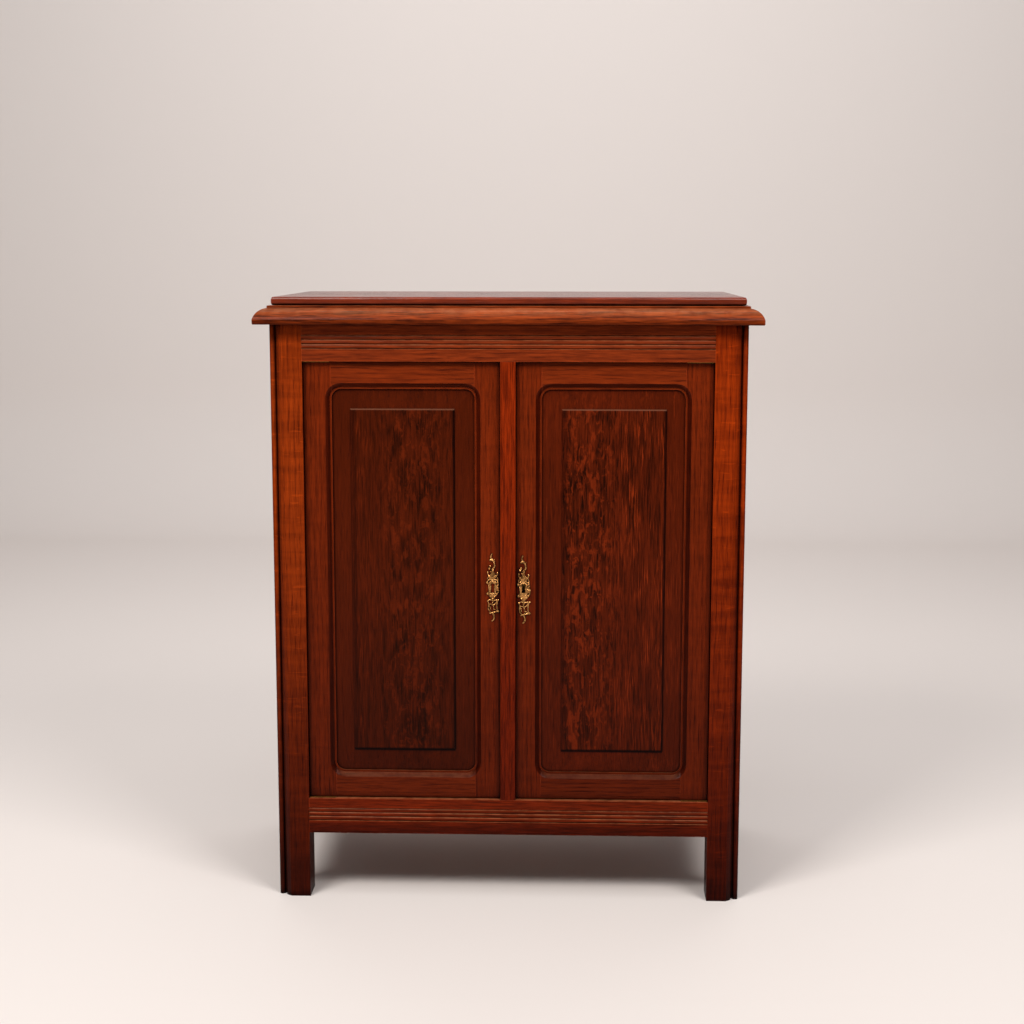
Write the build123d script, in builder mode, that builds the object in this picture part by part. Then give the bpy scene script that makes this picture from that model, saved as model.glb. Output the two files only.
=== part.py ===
from build123d import *
from math import cos, pi, radians, sin
import os

os.makedirs("parts", exist_ok=True)

# The frame: x to the right, y to the back, z up, in millimetres.  The origin is
# on the floor, under the centre of the whole cabinet with its cornice.

# ---- Carcase -------------------------------------------------------------
body_width = 700.0
body_depth = 374.0
cornice_overhang = 20.0
foot_height = 101.0
skirt_height = 54.0
opening_height = 661.5
top_rail_height = 54.0
front_rail_depth = 30.0
rear_rail_depth = 20.0
side_rail_depth = 22.0
side_set_back = 3.0
post_width = 48.6
post_depth = 45.0
rear_post = 45.0
panel_thickness = 8.0
side_panel_set_back = 7.0

front = cornice_overhang - (body_depth + cornice_overhang) / 2
back = front + body_depth
half_width = body_width / 2
opening_half = half_width - post_width
skirt_top = foot_height + skirt_height
opening_top = skirt_top + opening_height
carcase_top = opening_top + top_rail_height

# ---- Mouldings of the posts and rails ------------------------------------
post_flat = 30.0
post_arris = 1.0
post_cove_depth = 7.5
post_quirk = 2.0
post_bead_radius = 4.5
post_bead_set_back = 8.5
post_bead_sweep = 170.0
reed_count = 3
top_reed_pitch = 6.6
top_reed_height = 18.5
skirt_reed_pitch = 6.4
skirt_reed_height = 19.6
reed_depth = 1.7
reed_lip = 0.7

# ---- Cornice and lid -----------------------------------------------------
cornice_inside = 24.0
cornice_face = 7.3
cornice_arris = 1.0
cornice_fillet = 3.3
cornice_fillet_reach = 1.0
cornice_joint = 0.05
ovolo_height = 16.2
ovolo_radius = 22.0
cornice_height = cornice_face + ovolo_height + cornice_fillet
cornice_top = carcase_top + cornice_height
lid_seat_gap = 0.3
lid_thickness = 12.4
lid_half_width = 345.5
lid_front_set_back = 4.4
lid_nose_radius = 4.0
lid_bottom = cornice_top + lid_seat_gap
lid_top = lid_bottom + lid_thickness

# ---- Lid hinges ----------------------------------------------------------
lid_hinge_length = 50.0
lid_hinge_spacing = 420.0
lid_knuckle_radius = 3.0
lid_pin_radius = 1.6
lid_leaf = 1.6
lid_leaf_depth = 18.0
lid_knuckle_gap = 0.3
lid_axis_inset = 4.3
lid_hinge_clearance = 0.4
lid_axis_lift = 2.4
lid_leaf_lap = 1.0
lid_leaf_top_gap = 1.5
lid_axis_y = back - lid_axis_inset
lid_axis_z = cornice_top + lid_axis_lift
lid_back = lid_axis_y - lid_knuckle_radius - lid_hinge_clearance
hinge_fit = 0.05

# ---- Doors ---------------------------------------------------------------
door_recess = 8.0
door_thickness = 20.0
door_side_gap = 1.2
door_end_gap = 1.5
mullion_left = -11.0
mullion_right = 11.5
hinge_stile = 40.0
meeting_stile = 37.0
door_rail = 39.5
door_ledge = 3.0
door_back_ease = 3.0
moulding_bevel = 5.8
ledge_depth = 6.5
moulding_depth = 9.5
ledge_corner = 17.0
sight_corner = 14.0
hinge_margin = 28.5
meeting_margin = 31.0
top_margin = 30.0
bottom_margin = 34.0
panel_tongue = 9.0
panel_tongue_thickness = 6.0
panel_step = 2.0
panel_ease = 2.0
field_depth = 4.5
door_pin_radius = 2.5
door_pin_length = 24.0
door_pin_reach = 9.0
door_pin_inset = 8.0
door_pin_depth = 4.0
door_plate_length = 40.0
door_plate_width = 16.0
door_plate_thickness = 1.3
door_front = front + door_recess
door_back = door_front + door_thickness
door_axis_y = door_front + door_pin_depth
door_axis_x = opening_half - door_side_gap - door_pin_inset
door_bottom = skirt_top + door_end_gap
door_top = opening_top - door_end_gap


def add_box(low, high, mode=Mode.ADD):
    """Adds (or cuts) the box between two opposite corners."""
    size = [end - start for start, end in zip(low, high)]
    with Locations(tuple(low)):
        Box(*size, align=(Align.MIN, Align.MIN, Align.MIN), mode=mode)


def add_rod(start, radius, length, along="Z", mode=Mode.ADD):
    """Adds (or cuts) a round rod that starts at a point and runs along an axis."""
    turns = {"X": (0, 90, 0), "Y": (-90, 0, 0), "Z": (0, 0, 0)}
    with Locations(Location(tuple(start), turns[along])):
        Cylinder(radius, length, align=(Align.CENTER, Align.CENTER, Align.MIN), mode=mode)


def mirrored(piece):
    """The same piece on the other side of the cabinet."""
    with BuildPart() as twin:
        mirror(piece.part, about=Plane.YZ)
    return twin


def keep(piece, node):
    """Names a finished piece and writes it to its own file."""
    piece.part.label = node
    export_step(piece.part, f"parts/{node}.step")


# ---- Posts ---------------------------------------------------------------
def front_post():
    """The left front post, with the bead, quirk and cove on its outer corner."""
    bead_centre = (post_bead_radius, post_bead_set_back + post_bead_radius)
    cove_inner = post_width - post_flat
    cove_outer = 2 * post_bead_radius + post_quirk
    with BuildPart() as post:
        with BuildSketch(Plane((-half_width, front, 0))):
            with BuildLine():
                bead = CenterArc(bead_centre, post_bead_radius, 180, post_bead_sweep)
                Polyline(bead @ 1, (cove_outer, (bead @ 1).Y), (cove_outer, post_cove_depth))
                RadiusArc((cove_outer, post_cove_depth), (cove_inner, post_arris), -2 * post_cove_depth)
                Polyline(
                    (cove_inner, post_arris),
                    (cove_inner, 0),
                    (post_width, 0),
                    (post_width, post_depth),
                    (0, post_depth),
                    bead @ 0,
                )
            make_face()
        extrude(amount=carcase_top)
    return post


post_front_left = front_post()
keep(post_front_left, "post_front_left")
keep(mirrored(post_front_left), "post_front_right")
with BuildPart() as posts_rear:
    add_box((-half_width, back - rear_post, 0), (-half_width + rear_post, back, carcase_top))
    mirror(about=Plane.YZ)
keep(posts_rear, "posts_rear")


# ---- Front rails ---------------------------------------------------------
def reeded_rail(bottom, height, reed_bottom, pitch):
    """A front rail whose face carries a band of half-round reeds."""
    grooves = [bottom + reed_bottom + row * pitch for row in range(reed_count + 1)]
    deep = front + reed_depth
    with BuildPart() as rail:
        with BuildSketch(Plane.YZ.offset(-opening_half)):
            with BuildLine():
                Polyline((front, bottom), (front, grooves[0] - reed_lip), (deep, grooves[0]))
                for low, high in zip(grooves, grooves[1:]):
                    ThreePointArc((deep, low), (front, (low + high) / 2), (deep, high))
                Polyline(
                    (deep, grooves[-1]),
                    (front, grooves[-1] + reed_lip),
                    (front, bottom + height),
                    (front + front_rail_depth, bottom + height),
                    (front + front_rail_depth, bottom),
                    (front, bottom),
                )
            make_face()
        extrude(amount=2 * opening_half)
    return rail


rail_front_top = reeded_rail(opening_top, top_rail_height, top_reed_height, top_reed_pitch)
rail_front_bottom = reeded_rail(foot_height, skirt_height, skirt_reed_height, skirt_reed_pitch)

# ---- Levels and places inside --------------------------------------------
rear_rail_set_back = 2.0
fascia_thickness = 12.0
deck_drop = 90.5
deck_thickness = 14.0
winding_drop = 30.0
wheel_radius = 22.0
barrel_radius = 20.0
barrel_gap = 5.0
bush_radius = 11.0
rear_rail_back = back - rear_rail_set_back
rear_inner = rear_rail_back - rear_rail_depth
fascia_back = front + front_rail_depth + fascia_thickness
deck_top = carcase_top - deck_drop
deck_bottom = deck_top - deck_thickness
spindle_y = (fascia_back + rear_inner) / 2
winding_y = spindle_y - wheel_radius - barrel_radius - barrel_gap
winding_z = deck_bottom - winding_drop

# ---- Side and rear frames ------------------------------------------------
side_outer = half_width - side_set_back
side_inner = side_outer - side_rail_depth
side_panel_outer = side_outer - side_panel_set_back
side_panel_inner = side_panel_outer - panel_thickness
side_front = front + post_depth
side_back = back - rear_post
rear_half = half_width - rear_post

with BuildPart() as rails_side:
    add_box((-side_outer, side_front, foot_height), (-side_inner, side_back, skirt_top))
    add_box((-side_outer, side_front, opening_top), (-side_inner, side_back, carcase_top))
    mirror(about=Plane.YZ)
keep(rails_side, "rails_side")

with BuildPart() as panels_side:
    add_box((-side_panel_outer, side_front, skirt_top), (-side_panel_inner, side_back, opening_top))
    mirror(about=Plane.YZ)
    add_rod((side_inner, winding_y, winding_z), bush_radius, side_rail_depth, "X", Mode.SUBTRACT)
keep(panels_side, "panels_side")

with BuildPart() as rails_back:
    add_box((-rear_half, rear_inner, foot_height), (rear_half, rear_rail_back, skirt_top))
    add_box((-rear_half, rear_inner, opening_top), (rear_half, rear_rail_back, carcase_top))
keep(rails_back, "rails_back")

with BuildPart() as panel_back:
    add_box((-rear_half, rear_inner, skirt_top), (rear_half, rear_inner + panel_thickness, opening_top))
keep(panel_back, "panel_back")


# ---- Cornice -------------------------------------------------------------
def cornice_outline():
    """The cornice in section: x outwards from the posts' face, y up from their top."""
    ovolo_end = cornice_face + ovolo_height
    with BuildLine() as outline:
        Polyline(
            (-cornice_inside, 0),
            (cornice_overhang - cornice_arris, 0),
            (cornice_overhang, cornice_arris),
            (cornice_overhang, cornice_face),
        )
        RadiusArc(
            (cornice_overhang, cornice_face), (cornice_fillet_reach, ovolo_end), -ovolo_radius
        )
        Polyline(
            (cornice_fillet_reach, ovolo_end),
            (cornice_fillet_reach, cornice_height),
            (-cornice_inside, cornice_height),
            (-cornice_inside, 0),
        )
    return outline.line


def cornice_length(start, x_dir, length, mitres):
    """A length of cornice, cut at its ends by the mitre planes given."""
    with BuildPart() as moulding:
        with BuildSketch(Plane(start, x_dir=x_dir, z_dir=Vector(x_dir).cross(Vector(0, 0, 1)))):
            add(cornice_outline())
            make_face()
        extrude(amount=length)
        for mitre in mitres:
            split(bisect_by=mitre, keep=Keep.TOP)
    return moulding


corner_left = (-half_width, front, carcase_top)
corner_right = (half_width, front, carcase_top)
corner_reach = front - cornice_overhang
front_mitres = [
    Plane(corner_left, z_dir=(1, -1, 0)).offset(cornice_joint),
    Plane(corner_right, z_dir=(-1, -1, 0)).offset(cornice_joint),
]
front_start = (half_width + cornice_overhang, front, carcase_top)
side_start = (-half_width, corner_reach, carcase_top)
side_mitres = [Plane(corner_left, z_dir=(-1, 1, 0)).offset(cornice_joint)]
cornice_front = cornice_length(front_start, (0, -1, 0), body_width + 2 * cornice_overhang, front_mitres)
cornice_left = cornice_length(side_start, (-1, 0, 0), body_depth + cornice_overhang, side_mitres)

hinge_centres = [-lid_hinge_spacing / 2, lid_hinge_spacing / 2]
knuckle_room = lid_knuckle_radius + lid_hinge_clearance

with BuildPart() as cornice:
    add(cornice_front.part)
    add(cornice_left.part)
    mirror(cornice_left.part, about=Plane.YZ)
    cap_half = half_width - cornice_inside - cornice_joint
    add_box((-cap_half, back - cornice_inside, carcase_top), (cap_half, back, cornice_top))
    for centre in hinge_centres:
        low = centre - lid_hinge_length / 2
        high = centre + lid_hinge_length / 2
        leaf_front = lid_axis_y - lid_leaf_depth
        add_box(
            (low, leaf_front, lid_axis_z - knuckle_room),
            (high, back, cornice_top),
            Mode.SUBTRACT,
        )
keep(cornice, "cornice")

# ---- Lid and its hinges --------------------------------------------------
batten_width = 24.0
batten_height = 15.0
batten_spacing = 420.0
batten_end_gap = 12.0

with BuildPart() as lid_plate:
    add_box((-lid_half_width, front + lid_front_set_back, lid_bottom), (lid_half_width, lid_back, lid_top))
    long_edges = lid_plate.edges().filter_by(Axis.X).group_by(Axis.Y)[0]
    side_edges = lid_plate.edges().filter_by(Axis.Y)
    fillet(long_edges + side_edges, radius=lid_nose_radius)
keep(lid_plate, "lid_plate")

with BuildPart() as lid_battens:
    for centre in (-batten_spacing / 2, batten_spacing / 2):
        add_box(
            (centre - batten_width / 2, front + cornice_inside + batten_end_gap, lid_bottom - batten_height),
            (centre + batten_width / 2, back - cornice_inside - batten_end_gap, lid_bottom),
        )
keep(lid_battens, "lid_battens")


def hinge_third(centre, third):
    """The span along x of one of a hinge's three knuckles."""
    length = lid_hinge_length / 3
    start = centre - lid_hinge_length / 2 + third * length
    return start + lid_knuckle_gap / 2, start + length - lid_knuckle_gap / 2


pin_hole_radius = lid_pin_radius + hinge_fit
knuckle_front = lid_axis_y - lid_knuckle_radius
leaf_bottom = lid_axis_z - knuckle_room
leaf_front = lid_axis_y - lid_leaf_depth
leaf_back = knuckle_front - lid_knuckle_gap
leaf_top = lid_top - lid_leaf_top_gap

with BuildPart() as lid_hinge_case_leaves:
    for centre in hinge_centres:
        low = centre - lid_hinge_length / 2
        high = centre + lid_hinge_length / 2
        add_box((low, leaf_front, leaf_bottom), (high, leaf_back, cornice_top))
        for third in (0, 2):
            start, end = hinge_third(centre, third)
            add_rod((start, lid_axis_y, lid_axis_z), lid_knuckle_radius, end - start, "X")
            add_box((start, leaf_back, leaf_bottom), (end, lid_axis_y, cornice_top))
        add_rod((low, lid_axis_y, lid_axis_z), pin_hole_radius, lid_hinge_length, "X", Mode.SUBTRACT)
        add_rod((low, lid_axis_y, lid_axis_z), lid_pin_radius, lid_hinge_length, "X")
keep(lid_hinge_case_leaves, "lid_hinge_case_leaves")

with BuildPart() as lid_hinge_lid_leaves:
    for centre in hinge_centres:
        start, end = hinge_third(centre, 1)
        low = centre - lid_hinge_length / 2
        high = centre + lid_hinge_length / 2
        knuckle_top = lid_axis_z + lid_knuckle_radius
        add_rod((start, lid_axis_y, lid_axis_z), lid_knuckle_radius, end - start, "X")
        add_box((start, lid_back, lid_axis_z), (end, lid_axis_y, knuckle_top))
        add_box((low, lid_back, knuckle_top + lid_knuckle_gap), (high, lid_back + lid_leaf, leaf_top))
        add_box((start, lid_back, lid_axis_z + lid_leaf_lap), (end, lid_back + lid_leaf, leaf_top))
        add_rod((low, lid_axis_y, lid_axis_z), pin_hole_radius, lid_hinge_length, "X", Mode.SUBTRACT)
keep(lid_hinge_lid_leaves, "lid_hinge_lid_leaves")

# ---- Centre mullion ------------------------------------------------------
with BuildPart() as centre_mullion:
    add_box((mullion_left, front, skirt_top), (mullion_right, front + front_rail_depth, opening_top))
keep(centre_mullion, "centre_mullion")

# ---- Door pivots ---------------------------------------------------------
pivot_sides = [-door_axis_x, door_axis_x]
pin_end_room = 1.0
rail_hole_room = 0.5
pin_press_fit = 0.02
pin_sink = door_pin_length - door_pin_reach
rail_hole_radius = door_pin_radius + rail_hole_room
rail_hole_depth = door_pin_reach + pin_end_room

with rail_front_top:
    for x in pivot_sides:
        add_rod((x, door_axis_y, opening_top), rail_hole_radius, rail_hole_depth, "Z", Mode.SUBTRACT)
with rail_front_bottom:
    for x in pivot_sides:
        hole_bottom = skirt_top - rail_hole_depth
        add_rod((x, door_axis_y, hole_bottom), rail_hole_radius, rail_hole_depth, "Z", Mode.SUBTRACT)
keep(rail_front_top, "rail_front_top")
keep(rail_front_bottom, "rail_front_bottom")

with BuildPart() as door_pivot_plates:
    for x in pivot_sides:
        outer = opening_half if x > 0 else -opening_half
        inner = outer - door_plate_length if x > 0 else outer + door_plate_length
        for bottom in (skirt_top, opening_top - door_plate_thickness):
            add_box(
                (min(outer, inner), door_axis_y - door_plate_width / 2, bottom),
                (max(outer, inner), door_axis_y + door_plate_width / 2, bottom + door_plate_thickness),
            )
        add_rod((x, door_axis_y, skirt_top), door_pin_radius + hinge_fit, opening_height, "Z", Mode.SUBTRACT)
keep(door_pivot_plates, "door_pivot_plates")

# ---- Doors ---------------------------------------------------------------
meeting_gap = 1.2
keyhole_height = 479.6
keyhole_radius = 2.9
keyhole_rise = 4.7
keyhole_drop = 7.6
keyhole_slot = 4.7
escutcheon_inset = 10.6
escutcheon_thickness = 1.2
escutcheon_round = 0.8
escutcheon_right = [
    (-1.5, 55.0), (2.5, 47.0), (4.5, 40.0), (3.0, 29.0), (7.5, 24.0), (8.5, 13.5), (9.9, 6.0),
    (9.9, -4.0), (7.0, -9.0), (4.0, -14.0), (9.0, -19.0), (5.0, -23.0), (6.0, -31.0),
    (10.0, -36.0), (3.0, -39.5), (2.8, -45.0), (-0.5, -51.5),
]
escutcheon_left = [
    (-4.0, 54.0), (-2.8, 48.0), (-2.2, 41.0), (-4.5, 31.0), (-6.6, 24.0), (-7.0, 13.5), (-8.5, 6.0),
    (-8.5, -4.0), (-6.5, -9.0), (-3.0, -14.0), (-6.6, -19.0), (-4.0, -23.0), (-4.5, -30.0),
    (-4.5, -36.0), (-2.0, -39.5), (-1.8, -45.0),
]
escutcheon_windows = [(0.8, -27.5), (0.8, 35.0)]
window_half_width = 1.8
window_half_height = 3.6
door_left_meeting = mullion_left - meeting_gap
door_right_meeting = mullion_right + meeting_gap


def upright(y):
    """A sketch plane facing the front: its x runs right, its y runs up."""
    return Plane((0, y, 0), x_dir=(1, 0, 0), z_dir=(0, -1, 0))


def span_centre(low, high):
    """The centre and the size of the span between two opposite corners."""
    centre = ((low[0] + high[0]) / 2, (low[1] + high[1]) / 2)
    return centre, high[0] - low[0], high[1] - low[1]


def round_opening(low, high, start, depth, corner):
    """Cuts a round-cornered opening between two corners, from one depth to another."""
    centre, width, height = span_centre(low, high)
    with BuildSketch(upright(start + depth)) as outline:
        with Locations(centre):
            RectangleRounded(width, height, corner)
    extrude(outline.sketch, amount=depth, mode=Mode.SUBTRACT)


def widened(low, high, reach):
    """A span with all its sides moved outwards."""
    return (low[0] - reach, low[1] - reach), (high[0] + reach, high[1] + reach)


def door_frame(hinge, meeting, low, high):
    """A door's stiles and rails as one: a bevel and ledge run round, the panel's groove cut."""
    side = 1 if hinge > meeting else -1
    groove_front = door_front + moulding_depth
    groove_back = groove_front + panel_tongue_thickness
    with BuildPart() as frame:
        with BuildSketch(Plane.XY.offset(door_bottom)):
            with BuildLine():
                Polyline(
                    (meeting, door_front),
                    (hinge, door_front),
                    (hinge, door_back - door_back_ease),
                    (hinge - side * door_back_ease, door_back),
                    (meeting, door_back),
                    close=True,
                )
            make_face()
        extrude(amount=door_top - door_bottom)
        round_opening(*widened(low, high, door_ledge), door_front, ledge_depth, ledge_corner)
        rim = frame.faces().filter_by(Axis.Y).sort_by(Axis.Y)[0].inner_wires()[0].edges()
        chamfer(rim, length=moulding_bevel)
        round_opening(low, high, door_front, moulding_depth, sight_corner)
        groove_low, groove_high = widened(low, high, panel_tongue)
        start = (groove_low[0], groove_front, groove_low[1])
        add_box(start, (groove_high[0], groove_back, groove_high[1]), Mode.SUBTRACT)
        add_box((low[0], groove_back, low[1]), (high[0], door_back, high[1]), Mode.SUBTRACT)
    return frame


def door_stiles(frame, axis_x, low, high, keyhole_x):
    """Both stiles of a door, with the sinkings for its pivot pins."""
    with BuildPart() as stiles:
        add(frame.part)
        add_box((low[0], door_front, door_bottom), (high[0], door_back, door_top), Mode.SUBTRACT)
        sink_radius = door_pin_radius + pin_press_fit
        for start in (door_bottom, door_top - pin_sink):
            add_rod((axis_x, door_axis_y, start), sink_radius, pin_sink, "Z", Mode.SUBTRACT)
        if keyhole_x:
            cut_keyhole(keyhole_x, door_back, door_thickness)
    return stiles


def door_rails(frame, low, high):
    """The top and bottom rails of a door, between its stiles."""
    with BuildPart() as rails:
        add(frame.part)
        for start, end in ((-opening_half, low[0]), (high[0], opening_half)):
            add_box((start, door_front, door_bottom), (end, door_back, door_top), Mode.SUBTRACT)
    return rails


def cut_keyhole(x, back_face, depth):
    """Cuts a keyhole, a round hole over a slot, forwards from a face."""
    slot_length = keyhole_rise + keyhole_drop
    with BuildSketch(upright(back_face)) as outline:
        with Locations((x, keyhole_height + keyhole_rise)):
            Circle(keyhole_radius)
        with Locations((x, keyhole_height + keyhole_rise - slot_length / 2)):
            Rectangle(keyhole_slot, slot_length)
    extrude(outline.sketch, amount=depth, mode=Mode.SUBTRACT)


def door_panel(low, high, field_low, field_high):
    """A raised and fielded panel: a tongue all round, sloping margins, a raised field."""
    back_plane = door_front + moulding_depth
    centre, width, height = span_centre(low, high)
    field_centre, field_width, field_height = span_centre(field_low, field_high)
    margin_top = door_front + field_depth + panel_step
    sight = (width - 2 * panel_ease, height - 2 * panel_ease)
    with BuildPart() as raised:
        with BuildSketch(upright(back_plane)):
            with Locations(centre):
                Rectangle(*sight)
        with BuildSketch(upright(margin_top)):
            with Locations(field_centre):
                Rectangle(field_width, field_height)
        loft()
        with BuildSketch(upright(margin_top)):
            with Locations(field_centre):
                Rectangle(field_width, field_height)
        extrude(amount=panel_step)
        with BuildSketch(upright(back_plane)) as outline:
            with Locations(centre):
                RectangleRounded(*sight, sight_corner)
        extrude(outline.sketch, amount=moulding_depth, mode=Mode.INTERSECT)
    with BuildPart() as panel:
        with BuildSketch(upright(back_plane + panel_tongue_thickness)):
            with Locations(centre):
                Rectangle(width + 2 * panel_tongue, height + 2 * panel_tongue)
        extrude(amount=panel_tongue_thickness)
        add(raised.part)
    return panel


def door_pins(x):
    """The two steel pivot pins of a door."""
    with BuildPart() as pins:
        for start in (door_bottom - door_pin_reach, door_top - pin_sink):
            add_rod((x, door_axis_y, start), door_pin_radius, door_pin_length)
    return pins


def escutcheon_plate(x, keyhole):
    """A pierced keyhole plate, with a keyhole where the door has a lock."""
    with BuildPart() as plate:
        with BuildSketch(upright(door_front)):
            with Locations((x, keyhole_height)):
                add(escutcheon_outline())
        extrude(amount=escutcheon_thickness)
        if keyhole:
            cut_keyhole(x, door_front, escutcheon_thickness)
    return plate


def escutcheon_outline():
    """The outline of the keyhole plate about its keyhole, with its two windows."""
    with BuildSketch(mode=Mode.PRIVATE) as outline:
        with BuildLine():
            Polyline(*escutcheon_right, *reversed(escutcheon_left), close=True)
        make_face()
        fillet(outline.vertices(), radius=escutcheon_round)
        with Locations(*escutcheon_windows):
            Ellipse(window_half_width, window_half_height, mode=Mode.SUBTRACT)
    return outline.sketch


doors = {
    "left": (-opening_half + door_side_gap, door_left_meeting, -door_axis_x, False),
    "right": (opening_half - door_side_gap, door_right_meeting, door_axis_x, True),
}
for name, (hinge, meeting, axis_x, has_lock) in doors.items():
    side = 1 if hinge > meeting else -1
    hinge_sight = hinge - side * hinge_stile
    meeting_sight = meeting + side * meeting_stile
    sights = sorted([hinge_sight, meeting_sight])
    fields = sorted([hinge_sight - side * hinge_margin, meeting_sight + side * meeting_margin])
    low = (sights[0], door_bottom + door_rail)
    high = (sights[1], door_top - door_rail)
    field_low = (fields[0], low[1] + bottom_margin)
    field_high = (fields[1], high[1] - top_margin)
    plate_x = meeting + side * escutcheon_inset
    frame = door_frame(hinge, meeting, low, high)
    keep(door_stiles(frame, axis_x, low, high, plate_x if has_lock else None), f"door_{name}_stiles")
    keep(door_rails(frame, low, high), f"door_{name}_rails")
    keep(door_panel(low, high, field_low, field_high), f"door_{name}_panel")
    keep(door_pins(axis_x), f"door_{name}_pivots")
    keep(escutcheon_plate(plate_x, has_lock), f"escutcheon_{name}")

# ---- Lock on the right door, bolt on the left ----------------------------
lock_width = 26.0
lock_height = 60.0
lock_depth = 12.0
lock_wall = 1.5
lock_edge = 2.0
bolt_height = 14.0
bolt_depth = 5.0
bolt_length = 17.0
bolt_fit = 0.3
bolt_set_back = 3.0
bar_half = 4.5
bar_depth = 5.0
bar_length = 66.0
bar_lift = 1.0
bar_set_back = 5.0
bar_knob_radius = 5.0
bar_knob_length = 8.0
guide_height = 30.0
guide_wall = 2.5
guide_lift = 14.0
lock_left = door_right_meeting + lock_edge
lock_right = lock_left + lock_width
lock_bottom = keyhole_height - lock_height / 2
lock_top = lock_bottom + lock_height
lock_back = door_back + lock_depth
bolt_front = door_back + bolt_set_back
bolt_back = bolt_front + bolt_depth
bolt_bottom = keyhole_height - bolt_height / 2
bolt_top = keyhole_height + bolt_height / 2
bar_x = door_left_meeting - meeting_stile / 2
bar_front = door_back + bar_set_back
bar_back = bar_front + bar_depth
bar_bottom = door_bottom + bar_lift
bar_top = bar_bottom + bar_length
guide_bottom = door_bottom + guide_lift
guide_top = guide_bottom + guide_height

with BuildPart() as lock_case:
    add_box((lock_left, door_back, lock_bottom), (lock_right, lock_back, lock_top))
    low = (lock_left + lock_wall, door_back + lock_wall, lock_bottom + lock_wall)
    high = (lock_right - lock_wall, lock_back - lock_wall, lock_top - lock_wall)
    add_box(low, high, Mode.SUBTRACT)
    low = (lock_left, bolt_front - bolt_fit, bolt_bottom - bolt_fit)
    high = (lock_left + lock_wall, bolt_back + bolt_fit, bolt_top + bolt_fit)
    add_box(low, high, Mode.SUBTRACT)
    cut_keyhole(door_right_meeting + escutcheon_inset, door_back + lock_wall, lock_wall)
keep(lock_case, "lock_case")

with BuildPart() as lock_bolt:
    add_box((lock_left, bolt_front, bolt_bottom), (lock_left + bolt_length, bolt_back, bolt_top))
keep(lock_bolt, "lock_bolt")

with BuildPart() as bolt_guide:
    guide_half = bar_half + bolt_fit + guide_wall
    guide_back = bar_back + bolt_fit + guide_wall
    add_box((bar_x - guide_half, door_back, guide_bottom), (bar_x + guide_half, guide_back, guide_top))
    low = (bar_x - bar_half - bolt_fit, bar_front - bolt_fit, guide_bottom)
    add_box(low, (bar_x + bar_half + bolt_fit, bar_back + bolt_fit, guide_top), Mode.SUBTRACT)
keep(bolt_guide, "bolt_guide")

with BuildPart() as door_bolt:
    add_box((bar_x - bar_half, bar_front, bar_bottom), (bar_x + bar_half, bar_back, bar_top))
    knob_height = bar_top - bar_knob_radius
    add_rod((bar_x, bar_back, knob_height), bar_knob_radius, bar_knob_length, "Y")
keep(door_bolt, "door_bolt")

# ---- Inside boards -------------------------------------------------------
board_thickness = 14.0
record_bay_height = 325.0
record_bay_count = 6
shelf_set_back = 48.0
divider_set_back = 12.0
divider_thickness = 4.0
partition_thickness = 13.0
bar_hole_room = 0.5
shelf_bottom = skirt_top + record_bay_height
shelf_top = shelf_bottom + board_thickness
shelf_front = front + shelf_set_back
divider_front = shelf_front + divider_set_back
divider_spacing = 2 * opening_half / record_bay_count
bottom_board_height = skirt_top - board_thickness


def notched_board(bottom, thickness, board_front, side):
    """A level board between the side panels, notched round the four posts."""
    with BuildPart() as board:
        add_box((-opening_half, board_front, bottom), (opening_half, rear_inner, bottom + thickness))
        add_box((-side, side_front, bottom), (side, side_back, bottom + thickness))
    return board


bottom_board = notched_board(bottom_board_height, board_thickness, front + front_rail_depth, side_inner)
with bottom_board:
    low = (bar_x - bar_half - bar_hole_room, bar_front - bar_hole_room, bottom_board_height)
    high = (bar_x + bar_half + bar_hole_room, bar_back + bar_hole_room, skirt_top)
    add_box(low, high, Mode.SUBTRACT)
keep(bottom_board, "bottom_board")

record_shelf = notched_board(shelf_bottom, board_thickness, shelf_front, side_panel_inner)
keep(record_shelf, "record_shelf")

with BuildPart() as record_dividers:
    for step in (-2, -1, 1, 2):
        x = step * divider_spacing
        low = (x - divider_thickness / 2, divider_front, skirt_top)
        add_box(low, (x + divider_thickness / 2, rear_inner, shelf_bottom))
    low = (-partition_thickness / 2, shelf_front, skirt_top)
    add_box(low, (partition_thickness / 2, rear_inner, shelf_bottom))
keep(record_dividers, "record_dividers")

# ---- Horn, under the motor and behind the louvres ------------------------
horn_board = 9.0
horn_top_thickness = 10.0
horn_rear_drop = 60.0
horn_rear_gap = 6.0
motor_space = 66.0
throat_inset = 210.0
throat_radius = 16.0
throat_wall = 2.0
throat_half = 36.0
bore_fit = 0.1
base_radius = 30.0
base_back_gap = 12.0
louvre_count = 5
louvre_width = 40.0
louvre_thickness = 6.0
louvre_tilt = 40.0
louvre_end_gap = 0.2
louvre_set_back = 16.5
louvre_case_depth = 34.0
louvre_cheek = 12.0
horn_top_height = deck_bottom - motor_space - horn_top_thickness
horn_floor_rear = horn_top_height - horn_rear_drop
horn_front = shelf_front + louvre_case_depth
horn_back = rear_inner - horn_rear_gap
mouth_half = opening_half - louvre_cheek
throat_x = half_width - throat_inset
throat_y = rear_inner - base_radius - base_back_gap
throat_outer = throat_radius + throat_wall
throat_length = deck_top - horn_top_height
louvre_y = shelf_front + louvre_set_back

horn_top = notched_board(horn_top_height, horn_top_thickness, front + front_rail_depth, side_panel_inner)
with horn_top:
    throat_start = (throat_x, throat_y, horn_top_height)
    add_rod(throat_start, throat_outer + bore_fit, horn_top_thickness, "Z", Mode.SUBTRACT)
keep(horn_top, "horn_top")

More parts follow.
